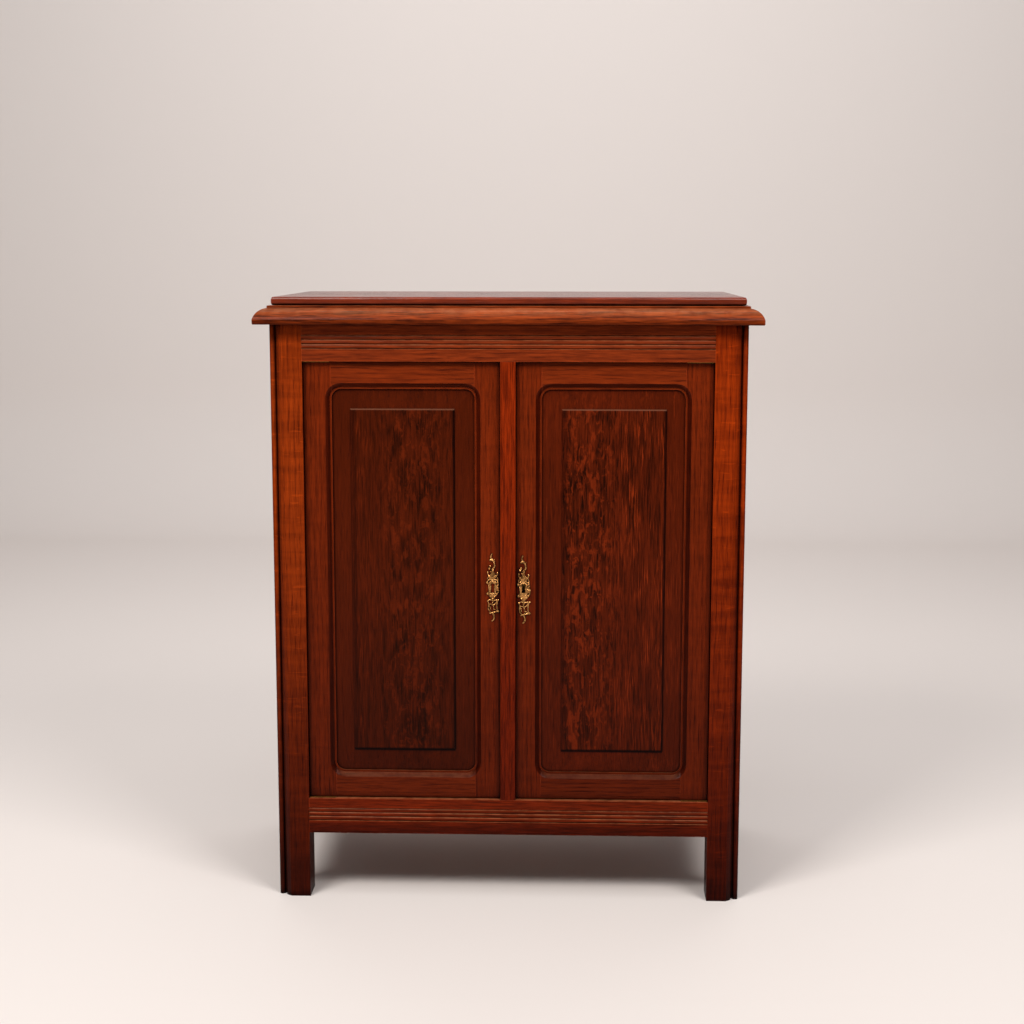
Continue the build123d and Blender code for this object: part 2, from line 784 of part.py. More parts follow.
with BuildPart() as horn_floor:
    with BuildSketch(Plane.YZ.offset(-opening_half)):
        with BuildLine():
            Polyline(
                (horn_front, shelf_top),
                (horn_back, horn_floor_rear),
                (horn_back, horn_floor_rear + horn_board),
                (horn_front, shelf_top + horn_board),
                close=True,
            )
        make_face()
    extrude(amount=2 * opening_half)
keep(horn_floor, "horn_floor")

with BuildPart() as horn_sides:
    for start, end in ((-mouth_half, throat_x - throat_half), (mouth_half, throat_x + throat_half)):
        out = horn_board if start > 0 else -horn_board
        with BuildSketch(Plane.XY.offset(shelf_top)):
            with BuildLine():
                Polyline(
                    (start, horn_front),
                    (end, horn_back),
                    (end + out, horn_back),
                    (start + out, horn_front),
                    close=True,
                )
            make_face()
        extrude(amount=horn_top_height - shelf_top)
    with BuildSketch(Plane.YZ.offset(-half_width)):
        with BuildLine():
            Polyline(
                (horn_front, shelf_top + horn_board),
                (horn_back, horn_floor_rear + horn_board),
                (horn_back, shelf_top),
                (horn_front, shelf_top),
                close=True,
            )
        make_face()
    extrude(amount=body_width, mode=Mode.SUBTRACT)
keep(horn_sides, "horn_sides")

with BuildPart() as horn_throat:
    add_rod(throat_start, throat_outer, throat_length)
    add_rod(throat_start, throat_radius, throat_length, "Z", Mode.SUBTRACT)
keep(horn_throat, "horn_throat")

with BuildPart() as louvres:
    for side in (-1, 1):
        edges = sorted([side * mouth_half, side * opening_half])
        add_box((edges[0], shelf_front, shelf_top), (edges[1], horn_front, horn_top_height))
    louvre_pitch = (horn_top_height - shelf_top) / louvre_count
    for row in range(louvre_count):
        height = shelf_top + (row + 1 / 2) * louvre_pitch
        with Locations(Location((0, louvre_y, height), (louvre_tilt, 0, 0))):
            Box(2 * (mouth_half - louvre_end_gap), louvre_width, louvre_thickness)
keep(louvres, "louvres")

# ---- Motor board ---------------------------------------------------------
spindle_offset = 70.0
spindle_hole = 8.0
cup_inset = 110.0
cup_set_back = 33.0
cup_pitch = 47.0
cup_radius = 18.0
cup_wall = 2.0
cup_depth = 12.0
cup_flange = 2.0
cup_flange_height = 1.0
fascia_drop = 30.5
spindle_x = -spindle_offset
cup_x = half_width - cup_inset
cup_places = [fascia_back + cup_set_back, fascia_back + cup_set_back + cup_pitch]
fascia_top = carcase_top - fascia_drop

motor_board = notched_board(deck_bottom, deck_thickness, fascia_back, side_panel_inner)
with motor_board:
    add_rod((spindle_x, spindle_y, deck_bottom), spindle_hole, deck_thickness, "Z", Mode.SUBTRACT)
    deck_throat = (throat_x, throat_y, deck_bottom)
    add_rod(deck_throat, throat_outer + bore_fit, deck_thickness, "Z", Mode.SUBTRACT)
    for y in cup_places:
        add_rod((cup_x, y, deck_top - cup_depth), cup_radius + bore_fit, cup_depth, "Z", Mode.SUBTRACT)
keep(motor_board, "motor_board")

with BuildPart() as deck_fascia:
    low = (-opening_half, front + front_rail_depth, horn_top_height + horn_top_thickness)
    add_box(low, (opening_half, fascia_back, fascia_top))
keep(deck_fascia, "deck_fascia")

with BuildPart() as needle_cups:
    for y in cup_places:
        add_rod((cup_x, y, deck_top - cup_depth), cup_radius, cup_depth)
        add_rod((cup_x, y, deck_top), cup_radius + cup_flange, cup_flange_height)
        cup_floor = deck_top - cup_depth + cup_wall
        add_rod((cup_x, y, cup_floor), cup_radius - cup_wall, cup_depth, "Z", Mode.SUBTRACT)
keep(needle_cups, "needle_cups")

# ---- Spring motor --------------------------------------------------------
motor_half = 66.0
motor_plate = 4.0
motor_clearance = 6.0
pillar_inset = 5.0
pillar_radius = 4.0
bracket_thickness = 4.0
bracket_left_reach = 46.0
bracket_right_reach = 36.0
bracket_margin = 13.5
arbor_radius = 5.0
governor_shaft = 2.5
worm_radius = 4.6
worm_length = 24.0
worm_gap = 0.4
wheel_thickness = 8.0
wheel_teeth = 30
tooth_depth = 1.6
barrel_end_gap = 10.0
bush_flange_radius = 18.0
bush_flange = 3.0
shaft_tail = 2.0
shaft_end_reach = 1.0
motor_height = motor_space - motor_clearance
motor_bottom = deck_bottom - motor_height
motor_top = deck_bottom - motor_plate
governor_y = spindle_y + wheel_radius + worm_radius + worm_gap
bracket_left = spindle_x - bracket_left_reach
bracket_right = spindle_x + bracket_right_reach
bracket_end = bracket_right + bracket_thickness
barrel_left = bracket_left + bracket_thickness + barrel_end_gap
barrel_length = bracket_right - barrel_end_gap - barrel_left
shaft_left = bracket_left - shaft_tail
shaft_right = side_panel_outer + bush_flange + shaft_end_reach

with BuildPart() as motor_frame:
    for bottom in (motor_bottom, motor_top):
        low = (spindle_x - motor_half, spindle_y - motor_half, bottom)
        add_box(low, (spindle_x + motor_half, spindle_y + motor_half, bottom + motor_plate))
    reach = motor_half - pillar_inset
    for x in (spindle_x - reach, spindle_x + reach):
        for y in (spindle_y - reach, spindle_y + reach):
            add_rod((x, y, motor_bottom), pillar_radius, motor_height)
    for left in (bracket_left, bracket_right):
        low = (left, winding_y - bracket_margin, motor_bottom + motor_plate)
        add_box(low, (left + bracket_thickness, governor_y + bracket_margin, motor_top))
    add_rod((spindle_x, spindle_y, motor_bottom), arbor_radius + hinge_fit, motor_height, "Z", Mode.SUBTRACT)
    bore_length = bracket_end - bracket_left
    for y, radius in ((winding_y, arbor_radius), (governor_y, governor_shaft)):
        add_rod((bracket_left, y, winding_z), radius + hinge_fit, bore_length, "X", Mode.SUBTRACT)
keep(motor_frame, "motor_frame")

with BuildPart() as winding_shaft:
    add_rod((shaft_left, winding_y, winding_z), arbor_radius, shaft_right - shaft_left, "X")
keep(winding_shaft, "winding_shaft")

with BuildPart() as winding_bush:
    add_rod((side_panel_inner, winding_y, winding_z), bush_radius, panel_thickness, "X")
    add_rod((side_panel_outer, winding_y, winding_z), bush_flange_radius, bush_flange, "X")
    bush_length = panel_thickness + bush_flange
    bush_start = (side_panel_inner, winding_y, winding_z)
    add_rod(bush_start, arbor_radius + hinge_fit, bush_length, "X", Mode.SUBTRACT)
keep(winding_bush, "winding_bush")

with BuildPart() as spring_barrel:
    add_rod((barrel_left, winding_y, winding_z), barrel_radius, barrel_length, "X")
    add_rod((barrel_left, winding_y, winding_z), arbor_radius + hinge_fit, barrel_length, "X", Mode.SUBTRACT)
keep(spring_barrel, "spring_barrel")

# ---- Governor ------------------------------------------------------------
governor_hub_radius = 6.0
governor_hub_start = 16.0
governor_weights_at = 22.0
governor_disc_start = 28.0
governor_disc_radius = 13.0
governor_disc_thickness = 2.0
weight_ring = 9.0
weight_radius = 4.0
weight_count = 3
governor_right = bracket_end + shaft_tail

with BuildPart() as governor:
    add_rod((shaft_left, governor_y, winding_z), governor_shaft, governor_right - shaft_left, "X")
    add_rod((spindle_x - worm_length / 2, governor_y, winding_z), worm_radius, worm_length, "X")
    hub_start = (spindle_x + governor_hub_start, governor_y, winding_z)
    hub_length = governor_disc_start - governor_hub_start
    add_rod(hub_start, governor_hub_radius, hub_length, "X")
    disc_start = (spindle_x + governor_disc_start, governor_y, winding_z)
    add_rod(disc_start, governor_disc_radius, governor_disc_thickness, "X")
    weights_centre = (spindle_x + governor_weights_at, governor_y, winding_z)
    with Locations(Plane(weights_centre, x_dir=(0, 1, 0), z_dir=(1, 0, 0))):
        with PolarLocations(weight_ring, weight_count):
            Sphere(weight_radius)
keep(governor, "governor")

# ---- Turntable -----------------------------------------------------------
platter_radius = 127.0
platter_lift = 8.0
platter_thickness = 7.0
platter_rim = 6.0
platter_skirt = 5.0
hub_radius = 14.0
hub_gap = 1.0
mat_border = 3.0
mat_thickness = 2.0
mat_hole_room = 0.3
record_pin_radius = 3.6
record_pin_length = 15.0
platter_bottom = deck_top + platter_lift
platter_top = platter_bottom + platter_thickness
skirt_bottom = platter_bottom - platter_skirt
mat_top = platter_top + mat_thickness

with BuildPart() as turntable_platter:
    add_rod((spindle_x, spindle_y, skirt_bottom), platter_radius, platter_top - skirt_bottom)
    inner = platter_radius - platter_rim
    add_rod((spindle_x, spindle_y, skirt_bottom), inner, platter_skirt, "Z", Mode.SUBTRACT)
    hub_bottom = deck_top + hub_gap
    add_rod((spindle_x, spindle_y, hub_bottom), hub_radius, platter_top - hub_bottom)
    add_rod((spindle_x, spindle_y, hub_bottom), arbor_radius, platter_top - hub_bottom, "Z", Mode.SUBTRACT)
keep(turntable_platter, "turntable_platter")

with BuildPart() as turntable_mat:
    add_rod((spindle_x, spindle_y, platter_top), platter_radius - mat_border, mat_thickness)
    mat_hole = arbor_radius + mat_hole_room
    add_rod((spindle_x, spindle_y, platter_top), mat_hole, mat_thickness, "Z", Mode.SUBTRACT)
keep(turntable_mat, "turntable_mat")

with BuildPart() as turntable_spindle:
    add_rod((spindle_x, spindle_y, motor_bottom), arbor_radius, mat_top - motor_bottom)
    add_rod((spindle_x, spindle_y, mat_top), record_pin_radius, record_pin_length)
    wheel_bottom = winding_z - wheel_thickness / 2
    add_rod((spindle_x, spindle_y, wheel_bottom), wheel_radius, wheel_thickness)
    tooth_gap = pi * wheel_radius / wheel_teeth
    with Locations((spindle_x, spindle_y, winding_z)):
        with PolarLocations(wheel_radius, wheel_teeth):
            Box(2 * tooth_depth, tooth_gap, wheel_thickness, mode=Mode.SUBTRACT)
keep(turntable_spindle, "turntable_spindle")

# ---- Tonearm -------------------------------------------------------------
arm_radius = 12.0
arm_wall = 2.0
arm_lift = 70.0
arm_bend = 26.0
arm_shoulder = 15.0
shoulder_height = 4.0
shoulder_gap = 0.2
base_flange = 4.0
collar_radius = 20.0
collar_height = 22.0
stem_lift = 1.0
pivot_tube = 12.5
pivot_half = 10.0
pivot_radius = 6.0
pivot_head = 8.0
pivot_head_thickness = 2.2
pivot_head_gap = 0.4
collar_top = deck_top + collar_height
stem_bottom = deck_top + stem_lift
shoulder_bottom = collar_top + shoulder_gap
arm_height = deck_top + arm_lift

# ---- Soundbox ------------------------------------------------------------
soundbox_radius = 27.0
soundbox_thickness = 12.0
soundbox_gap = 0.3
soundbox_front_gap = 19.0
soundbox_forward = 22.0
soundbox_drop = 12.0
needle_radius = 0.8
needle_slant = 25.0
record_thickness = 2.3
arm_end_y = fascia_back + soundbox_front_gap + soundbox_radius + soundbox_forward
soundbox_left = throat_x + arm_radius + soundbox_gap
soundbox_y = arm_end_y - soundbox_forward
soundbox_z = arm_height - soundbox_drop
needle_tip = mat_top + record_thickness
needle_reach = (soundbox_z - needle_tip) / cos(radians(needle_slant))

with BuildPart() as tonearm_base:
    add_rod((throat_x, throat_y, deck_top), base_radius, base_flange)
    add_rod((throat_x, throat_y, deck_top), collar_radius, collar_height)
    add_rod((throat_x, throat_y, deck_top), arm_radius + hinge_fit, collar_height, "Z", Mode.SUBTRACT)
keep(tonearm_base, "tonearm_base")

with BuildPart() as tonearm:
    with BuildLine() as route:
        FilletPolyline(
            (throat_x, throat_y, stem_bottom),
            (throat_x, throat_y, arm_height),
            (throat_x, arm_end_y, arm_height),
            radius=arm_bend,
        )
    with BuildSketch(Plane.XY.offset(stem_bottom)):
        with Locations((throat_x, throat_y)):
            Circle(arm_radius)
            Circle(arm_radius - arm_wall, mode=Mode.SUBTRACT)
    sweep(path=route.line)
    shoulder = (throat_x, throat_y, shoulder_bottom)
    add_rod(shoulder, arm_shoulder, shoulder_height)
    add_rod(shoulder, arm_radius - arm_wall, shoulder_height, "Z", Mode.SUBTRACT)
    add_rod((throat_x - pivot_half, arm_end_y, arm_height), pivot_tube, 2 * pivot_half, "X")
    pivot_start = (throat_x - arm_radius, arm_end_y, arm_height)
    add_rod(pivot_start, pivot_radius + hinge_fit, 2 * arm_radius, "X", Mode.SUBTRACT)
keep(tonearm, "tonearm")

with BuildPart() as soundbox:
    head_left = throat_x - arm_radius - pivot_head_gap - pivot_head_thickness
    add_rod((head_left, arm_end_y, arm_height), pivot_radius, soundbox_left - head_left, "X")
    add_rod((head_left, arm_end_y, arm_height), pivot_head, pivot_head_thickness, "X")
    add_rod((soundbox_left, soundbox_y, soundbox_z), soundbox_radius, soundbox_thickness, "X")
    needle_top = (soundbox_left + soundbox_thickness / 2, soundbox_y, soundbox_z)
    with Locations(Location(needle_top, (180 - needle_slant, 0, 0))):
        Cylinder(needle_radius, needle_reach, align=(Align.CENTER, Align.CENTER, Align.MIN))
keep(soundbox, "soundbox")

# ---- Brake and speed levers ----------------------------------------------
brake_bearing = -36.87
brake_distance = 135.0
brake_tail = 20.0
brake_pivot = 35.0
pad_gap = 0.4
lever_width = 8.0
lever_thickness = 3.0
lever_height = 6.0
lever_end = 6.0
lever_pin = 3.0
lever_pin_proud = 1.0
lever_knob_radius = 3.5
lever_knob_height = 7.0
lever_knob_inset = 4.0
speed_inset = 100.0
speed_set_back = 48.0
speed_lever_length = 34.0
speed_dial_radius = 26.0
speed_dial_thickness = 1.0
rest_distance = 140.0
rest_radius = 5.0
rest_gap = 0.3
rest_foot = 3.0
speed_x = speed_inset - half_width
speed_y = fascia_back + speed_set_back
rest_y = throat_y - rest_distance
lever_bottom = deck_top + lever_height
lever_top = lever_bottom + lever_thickness
lever_pin_top = lever_top + lever_pin_proud

with BuildPart() as brake_lever:
    brake_x_dir = (cos(radians(brake_bearing)), sin(radians(brake_bearing)), 0)
    brake_plane = Plane((spindle_x, spindle_y, 0), x_dir=brake_x_dir)
    lever_length = brake_pivot + lever_end + brake_tail
    with BuildSketch(brake_plane.offset(lever_bottom)):
        with Locations((brake_distance, lever_length / 2 - brake_tail)):
            Rectangle(lever_width, lever_length)
        with Locations((brake_distance, brake_pivot)):
            Circle(lever_pin + hinge_fit, mode=Mode.SUBTRACT)
    extrude(amount=lever_thickness)
    pad_inner = platter_radius + pad_gap
    pad_outer = brake_distance - lever_width / 2
    with BuildSketch(brake_plane.offset(lever_bottom)):
        with Locations(((pad_inner + pad_outer) / 2, 0)):
            Rectangle(pad_outer - pad_inner, lever_width)
    extrude(amount=lever_thickness)
    with BuildSketch(brake_plane.offset(lever_top)):
        with Locations((brake_distance, lever_knob_inset - brake_tail)):
            Circle(lever_knob_radius)
    extrude(amount=lever_knob_height)
keep(brake_lever, "brake_lever")

with BuildPart() as deck_posts:
    with BuildSketch(brake_plane.offset(deck_top)):
        with Locations((brake_distance, brake_pivot)):
            Circle(lever_pin)
    extrude(amount=lever_pin_top - deck_top)
    add_rod((speed_x, speed_y, deck_top), lever_pin, lever_pin_top - deck_top)
    add_rod((speed_x, speed_y, deck_top), speed_dial_radius, speed_dial_thickness)
    add_rod((throat_x, rest_y, deck_top), 2 * rest_radius, rest_foot)
    rest_height = arm_height - arm_radius - rest_gap - deck_top
    add_rod((throat_x, rest_y, deck_top), rest_radius, rest_height)
keep(deck_posts, "deck_posts")

with BuildPart() as speed_lever:
    low = (speed_x - lever_width / 2, speed_y - lever_width / 2, lever_bottom)
    add_box(low, (speed_x + lever_width / 2, speed_y + speed_lever_length, lever_top))
    knob_y = speed_y + speed_lever_length - lever_knob_radius
    add_rod((speed_x, knob_y, lever_top), lever_knob_radius, lever_knob_height)
    bore = (speed_x, speed_y, lever_bottom)
    add_rod(bore, lever_pin + hinge_fit, lever_thickness, "Z", Mode.SUBTRACT)
keep(speed_lever, "speed_lever")

# ---- Winding crank in its clips ------------------------------------------
crank_inset = 50.0
crank_lift = 13.0
crank_set_back = 48.0
crank_length = 160.0
crank_radius = 5.0
crank_throw = 80.0
crank_arm_half = 6.0
crank_pin_radius = 3.0
pin_head_radius = 5.0
pin_head = 2.0
knob_radius = 12.0
knob_length = 70.0
knob_round = 4.0
knob_gap = 0.3
knob_play = 1.7
clip_half = 8.0
clip_length = 10.0
clip_fit = 0.3
clip_inset = 40.0
clip_rise = 2.0
crank_x = half_width - crank_inset
crank_z = deck_top + crank_lift
crank_front = fascia_back + crank_set_back
crank_back = crank_front + crank_length
knob_x = crank_x - crank_throw
knob_front = crank_back - knob_play - knob_length
pin_front = knob_front - knob_gap - pin_head

with BuildPart() as crank:
    add_rod((crank_x, crank_front, crank_z), crank_radius, crank_length, "Y")
    low = (knob_x - crank_arm_half, crank_back, crank_z - crank_arm_half)
    high = (crank_x + crank_arm_half, crank_back + crank_arm_half, crank_z + crank_arm_half)
    add_box(low, high)
    add_rod((knob_x, pin_front, crank_z), crank_pin_radius, crank_back - pin_front, "Y")
    add_rod((knob_x, pin_front, crank_z), pin_head_radius, pin_head, "Y")
keep(crank, "crank")

with BuildPart() as crank_knob:
    add_rod((knob_x, knob_front, crank_z), knob_radius, knob_length, "Y")
    knob_start = (knob_x, knob_front, crank_z)
    add_rod(knob_start, crank_pin_radius + hinge_fit, knob_length, "Y", Mode.SUBTRACT)
    knob_rims = crank_knob.edges().filter_by(GeomType.CIRCLE).group_by(SortBy.RADIUS)[-1]
    fillet(knob_rims, radius=knob_round)
keep(crank_knob, "crank_knob")

with BuildPart() as crank_clips:
    slot_half = crank_radius + clip_fit
    for y in (crank_front + clip_inset, crank_back - clip_inset):
        low = (crank_x - clip_half, y, deck_top)
        add_box(low, (crank_x + clip_half, y + clip_length, crank_z + clip_rise))
        low = (crank_x - slot_half, y, crank_z - slot_half)
        add_box(low, (crank_x + slot_half, y + clip_length, crank_z + clip_rise), Mode.SUBTRACT)
keep(crank_clips, "crank_clips")
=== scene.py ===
import math

import bpy
from mathutils import Matrix, Vector


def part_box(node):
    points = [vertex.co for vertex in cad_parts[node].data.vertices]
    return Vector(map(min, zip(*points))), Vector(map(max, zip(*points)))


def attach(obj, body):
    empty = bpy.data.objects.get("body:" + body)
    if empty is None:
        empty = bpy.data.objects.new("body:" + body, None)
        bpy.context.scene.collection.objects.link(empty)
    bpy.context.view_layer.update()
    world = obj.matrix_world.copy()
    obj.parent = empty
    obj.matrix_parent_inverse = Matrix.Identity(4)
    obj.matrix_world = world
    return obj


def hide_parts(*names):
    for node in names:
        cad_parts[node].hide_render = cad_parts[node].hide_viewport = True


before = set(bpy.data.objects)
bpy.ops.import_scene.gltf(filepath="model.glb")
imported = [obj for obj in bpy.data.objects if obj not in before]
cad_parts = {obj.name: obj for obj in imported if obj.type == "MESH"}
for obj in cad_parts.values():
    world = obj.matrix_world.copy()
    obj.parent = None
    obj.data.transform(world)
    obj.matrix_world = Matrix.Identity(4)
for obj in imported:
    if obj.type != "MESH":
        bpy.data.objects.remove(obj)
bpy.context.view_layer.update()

MM = 0.001

# ---- Places read from the frame ------------------------------------------
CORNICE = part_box("cornice")
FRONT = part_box("rail_front_top")[0].y
POST_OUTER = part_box("post_front_left")[0].x


# ---- Node helpers --------------------------------------------------------
class Graph:
    """A node tree with short calls for the nodes that the finishes use."""

    def __init__(self, tree):
        self.tree = tree

    def node(self, kind, **settings):
        made = self.tree.nodes.new(kind)
        for key, value in settings.items():
            setattr(made, key, value)
        return made

    def feed(self, value, socket):
        """Sets a socket to a number or colour, or links another socket to it."""
        if isinstance(value, bpy.types.NodeSocket):
            self.tree.links.new(value, socket)
        else:
            socket.default_value = value

    def math(self, operation, *values, clamp=False):
        made = self.node("ShaderNodeMath", operation=operation, use_clamp=clamp)
        for value, socket in zip(values, made.inputs):
            self.feed(value, socket)
        return made.outputs[0]

    def mix(self, factor, low, high, blend="MIX"):
        """A colour between two colours."""
        made = self.node("ShaderNodeMix", data_type="RGBA", blend_type=blend)
        self.feed(factor, made.inputs["Factor"])
        self.feed(low, made.inputs["A"])
        self.feed(high, made.inputs["B"])
        return made.outputs["Result"]

    def multiply(self, factor, low, high):
        """A colour darkened by another."""
        return self.mix(factor, low, high, "MULTIPLY")

    def between(self, value, low, high, out_low=0.0, out_high=1.0):
        """A value mapped smoothly from one range to another."""
        made = self.node("ShaderNodeMapRange", interpolation_type="SMOOTHSTEP")
        ends = {"Value": value, "From Min": low, "From Max": high, "To Min": out_low, "To Max": out_high}
        for key, number in ends.items():
            self.feed(number, made.inputs[key])
        return made.outputs["Result"]

    def noise(self, vector, scale, detail=3.0, roughness=0.5, distortion=0.0):
        made = self.node("ShaderNodeTexNoise")
        self.feed(vector, made.inputs["Vector"])
        self.feed(scale, made.inputs["Scale"])
        self.feed(detail, made.inputs["Detail"])
        self.feed(roughness, made.inputs["Roughness"])
        self.feed(distortion, made.inputs["Distortion"])
        return made.outputs["Fac"]

    def vectors(self, operation, one, other):
        """Two vectors taken together into a third."""
        made = self.node("ShaderNodeVectorMath", operation=operation)
        self.feed(one, made.inputs[0])
        self.feed(other, made.inputs[1])
        return made.outputs["Vector"]

    def stretch(self, vector, size):
        """A vector with its three parts scaled."""
        return self.vectors("MULTIPLY", vector, size)

    def bump(self, height, distance, strength=1.0):
        """A normal that leans with a height, which is worth a distance in metres."""
        made = self.node("ShaderNodeBump")
        self.feed(strength, made.inputs["Strength"])
        self.feed(distance, made.inputs["Distance"])
        self.feed(height, made.inputs["Height"])
        return made.outputs["Normal"]

    def split(self, vector):
        made = self.node("ShaderNodeSeparateXYZ")
        self.feed(vector, made.inputs[0])
        return made.outputs["X"], made.outputs["Y"], made.outputs["Z"]

    def join(self, x, y, z):
        made = self.node("ShaderNodeCombineXYZ")
        for value, socket in zip((x, y, z), made.inputs):
            self.feed(value, socket)
        return made.outputs[0]


def new_group(name, inputs, outputs):
    """A shader node group with named inputs (with their usual values) and outputs."""
    tree = bpy.data.node_groups.new(name, "ShaderNodeTree")
    for label, kind, value in inputs:
        socket = tree.interface.new_socket(label, in_out="INPUT", socket_type=kind)
        if value is not None:
            socket.default_value = value
    for label, kind in outputs:
        tree.interface.new_socket(label, in_out="OUTPUT", socket_type=kind)
    graph = Graph(tree)
    return graph, graph.node("NodeGroupInput").outputs, graph.node("NodeGroupOutput").inputs


NUMBER = "NodeSocketFloat"
VECTOR = "NodeSocketVector"


def oak_figure_group():
    """The figure of a sawn oak board: rings, threads, pores, ripple, flecks, clouds, flames, fibres.

    Board is the place in the board: across, into and along the grain, in metres.
    """
    inputs = [
        ("Board", VECTOR, None),
        ("Heart Across", NUMBER, 0.3),
        ("Heart Depth", NUMBER, 0.06),
        ("Heart Tilt", NUMBER, 0.05),
        ("Ring Width", NUMBER, 0.007),
        ("Waviness", NUMBER, 0.012),
        ("Heart Reach", NUMBER, 9.0),
        ("Seed", NUMBER, 0.0),
    ]
    names = ("Rings", "Threads", "Pores", "Ripple", "Flecks", "Clouds", "Flames", "Fibres")
    outputs = [(name, NUMBER) for name in names]
    g, given, put = new_group("Oak figure", inputs, outputs)
    across, depth, along = g.split(given["Board"])
    seeded = g.join(g.math("ADD", across, given["Seed"]), depth, g.math("ADD", along, given["Seed"]))

    def marks(size, detail, roughness=0.5, distortion=0.0, vector=seeded):
        """Noise with so many marks to the metre across, into and along the board."""
        return g.noise(g.stretch(vector, size), 1.0, detail, roughness, distortion)

    # The rings of a slab cut beside the heart, torn along the fibres.
    torn = marks((210.0, 210.0, 9.0), 3.0, 0.6)
    torn_along = g.math("MULTIPLY_ADD", g.math("SUBTRACT", torn, 0.5), 0.10, along)
    sway = marks((14.0, 14.0, 5.0), 2.0)
    sway_size = g.math("MULTIPLY", g.math("SUBTRACT", sway, 0.5), given["Waviness"])
    swell_place = g.join(given["Seed"], 0.0, g.math("ADD", torn_along, given["Seed"]))
    swell = marks((1.0, 1.0, 7.0), 1.0, vector=swell_place)
    swell_size = g.math("MULTIPLY", g.math("SUBTRACT", swell, 0.5), g.math("MULTIPLY", given["Waviness"], 5.0))
    off_heart = g.math("ADD", g.math("SUBTRACT", across, given["Heart Across"]), sway_size)
    climb = g.math("MULTIPLY", torn_along, given["Heart Tilt"])
    from_heart = g.math("ADD", g.math("ADD", g.math("ADD", given["Heart Depth"], climb), depth), swell_size)
    squares = g.math("ADD", g.math("MULTIPLY", off_heart, off_heart), g.math("MULTIPLY", from_heart, from_heart))
    uneven = marks((40.0, 40.0, 4.0), 2.0)
    turns = g.math("ADD", g.math("DIVIDE", g.math("SQRT", squares), given["Ring Width"]), uneven)
    ring = g.math("FRACT", turns)
    early = g.math("MULTIPLY", g.between(ring, 0.0, 0.30), g.between(ring, 0.62, 0.34))

    # Threads, pores in the early wood, the silver ripple and flecks across the grain.
    threads_wide = marks((270.0, 270.0, 20.0), 3.0, 0.6)
    threads_fine = marks((720.0, 720.0, 36.0), 2.0, 0.6)
    threads = g.math("MULTIPLY_ADD", threads_fine, 0.5, g.math("MULTIPLY", threads_wide, 0.5))
    pore_noise = marks((1150.0, 1150.0, 45.0), 1.0)
    in_early = g.math("MULTIPLY_ADD", early, 0.7, 0.3)
    pores = g.math("MULTIPLY", g.between(pore_noise, 0.54, 0.64), in_early)
    ripple = marks((9.0, 9.0, 70.0), 2.0, distortion=0.7)
    fleck_noise = marks((34.0, 34.0, 230.0), 1.0, distortion=0.5)

    # Torn bright patches over the heart, and fine light fibres beside it.
    away = g.math("DIVIDE", g.math("ABSOLUTE", off_heart), given["Heart Reach"])
    near = g.between(away, 1.0, 0.25)
    flame_place = g.join(g.math("MULTIPLY_ADD", torn, 0.012, across), depth, g.math("ADD", along, given["Seed"]))
    flame_noise = marks((150.0, 150.0, 48.0), 3.0, 0.65, 0.8, vector=flame_place)
    flames = g.math("MULTIPLY", g.between(flame_noise, 0.50, 0.62), g.math("MULTIPLY", near, near))
    fibre_noise = marks((760.0, 760.0, 24.0), 2.0, 0.6)
    patch_noise = marks((45.0, 45.0, 14.0), 2.0)
    fibres = g.math("MULTIPLY", g.between(fibre_noise, 0.52, 0.64), g.between(patch_noise, 0.36, 0.60))
    beside = g.math("MULTIPLY_ADD", near, -0.8, 1.0)
    g.feed(g.math("MULTIPLY", early, near), put["Rings"])
    g.feed(flames, put["Flames"])
    g.feed(g.math("MULTIPLY", fibres, beside), put["Fibres"])
    g.feed(g.between(threads, 0.32, 0.68), put["Threads"])
    g.feed(pores, put["Pores"])
    g.feed(g.between(ripple, 0.30, 0.70), put["Ripple"])
    g.feed(g.between(fleck_noise, 0.64, 0.74), put["Flecks"])
    g.feed(marks((6.0, 6.0, 3.0), 4.0, 0.6), put["Clouds"])
    return g.tree


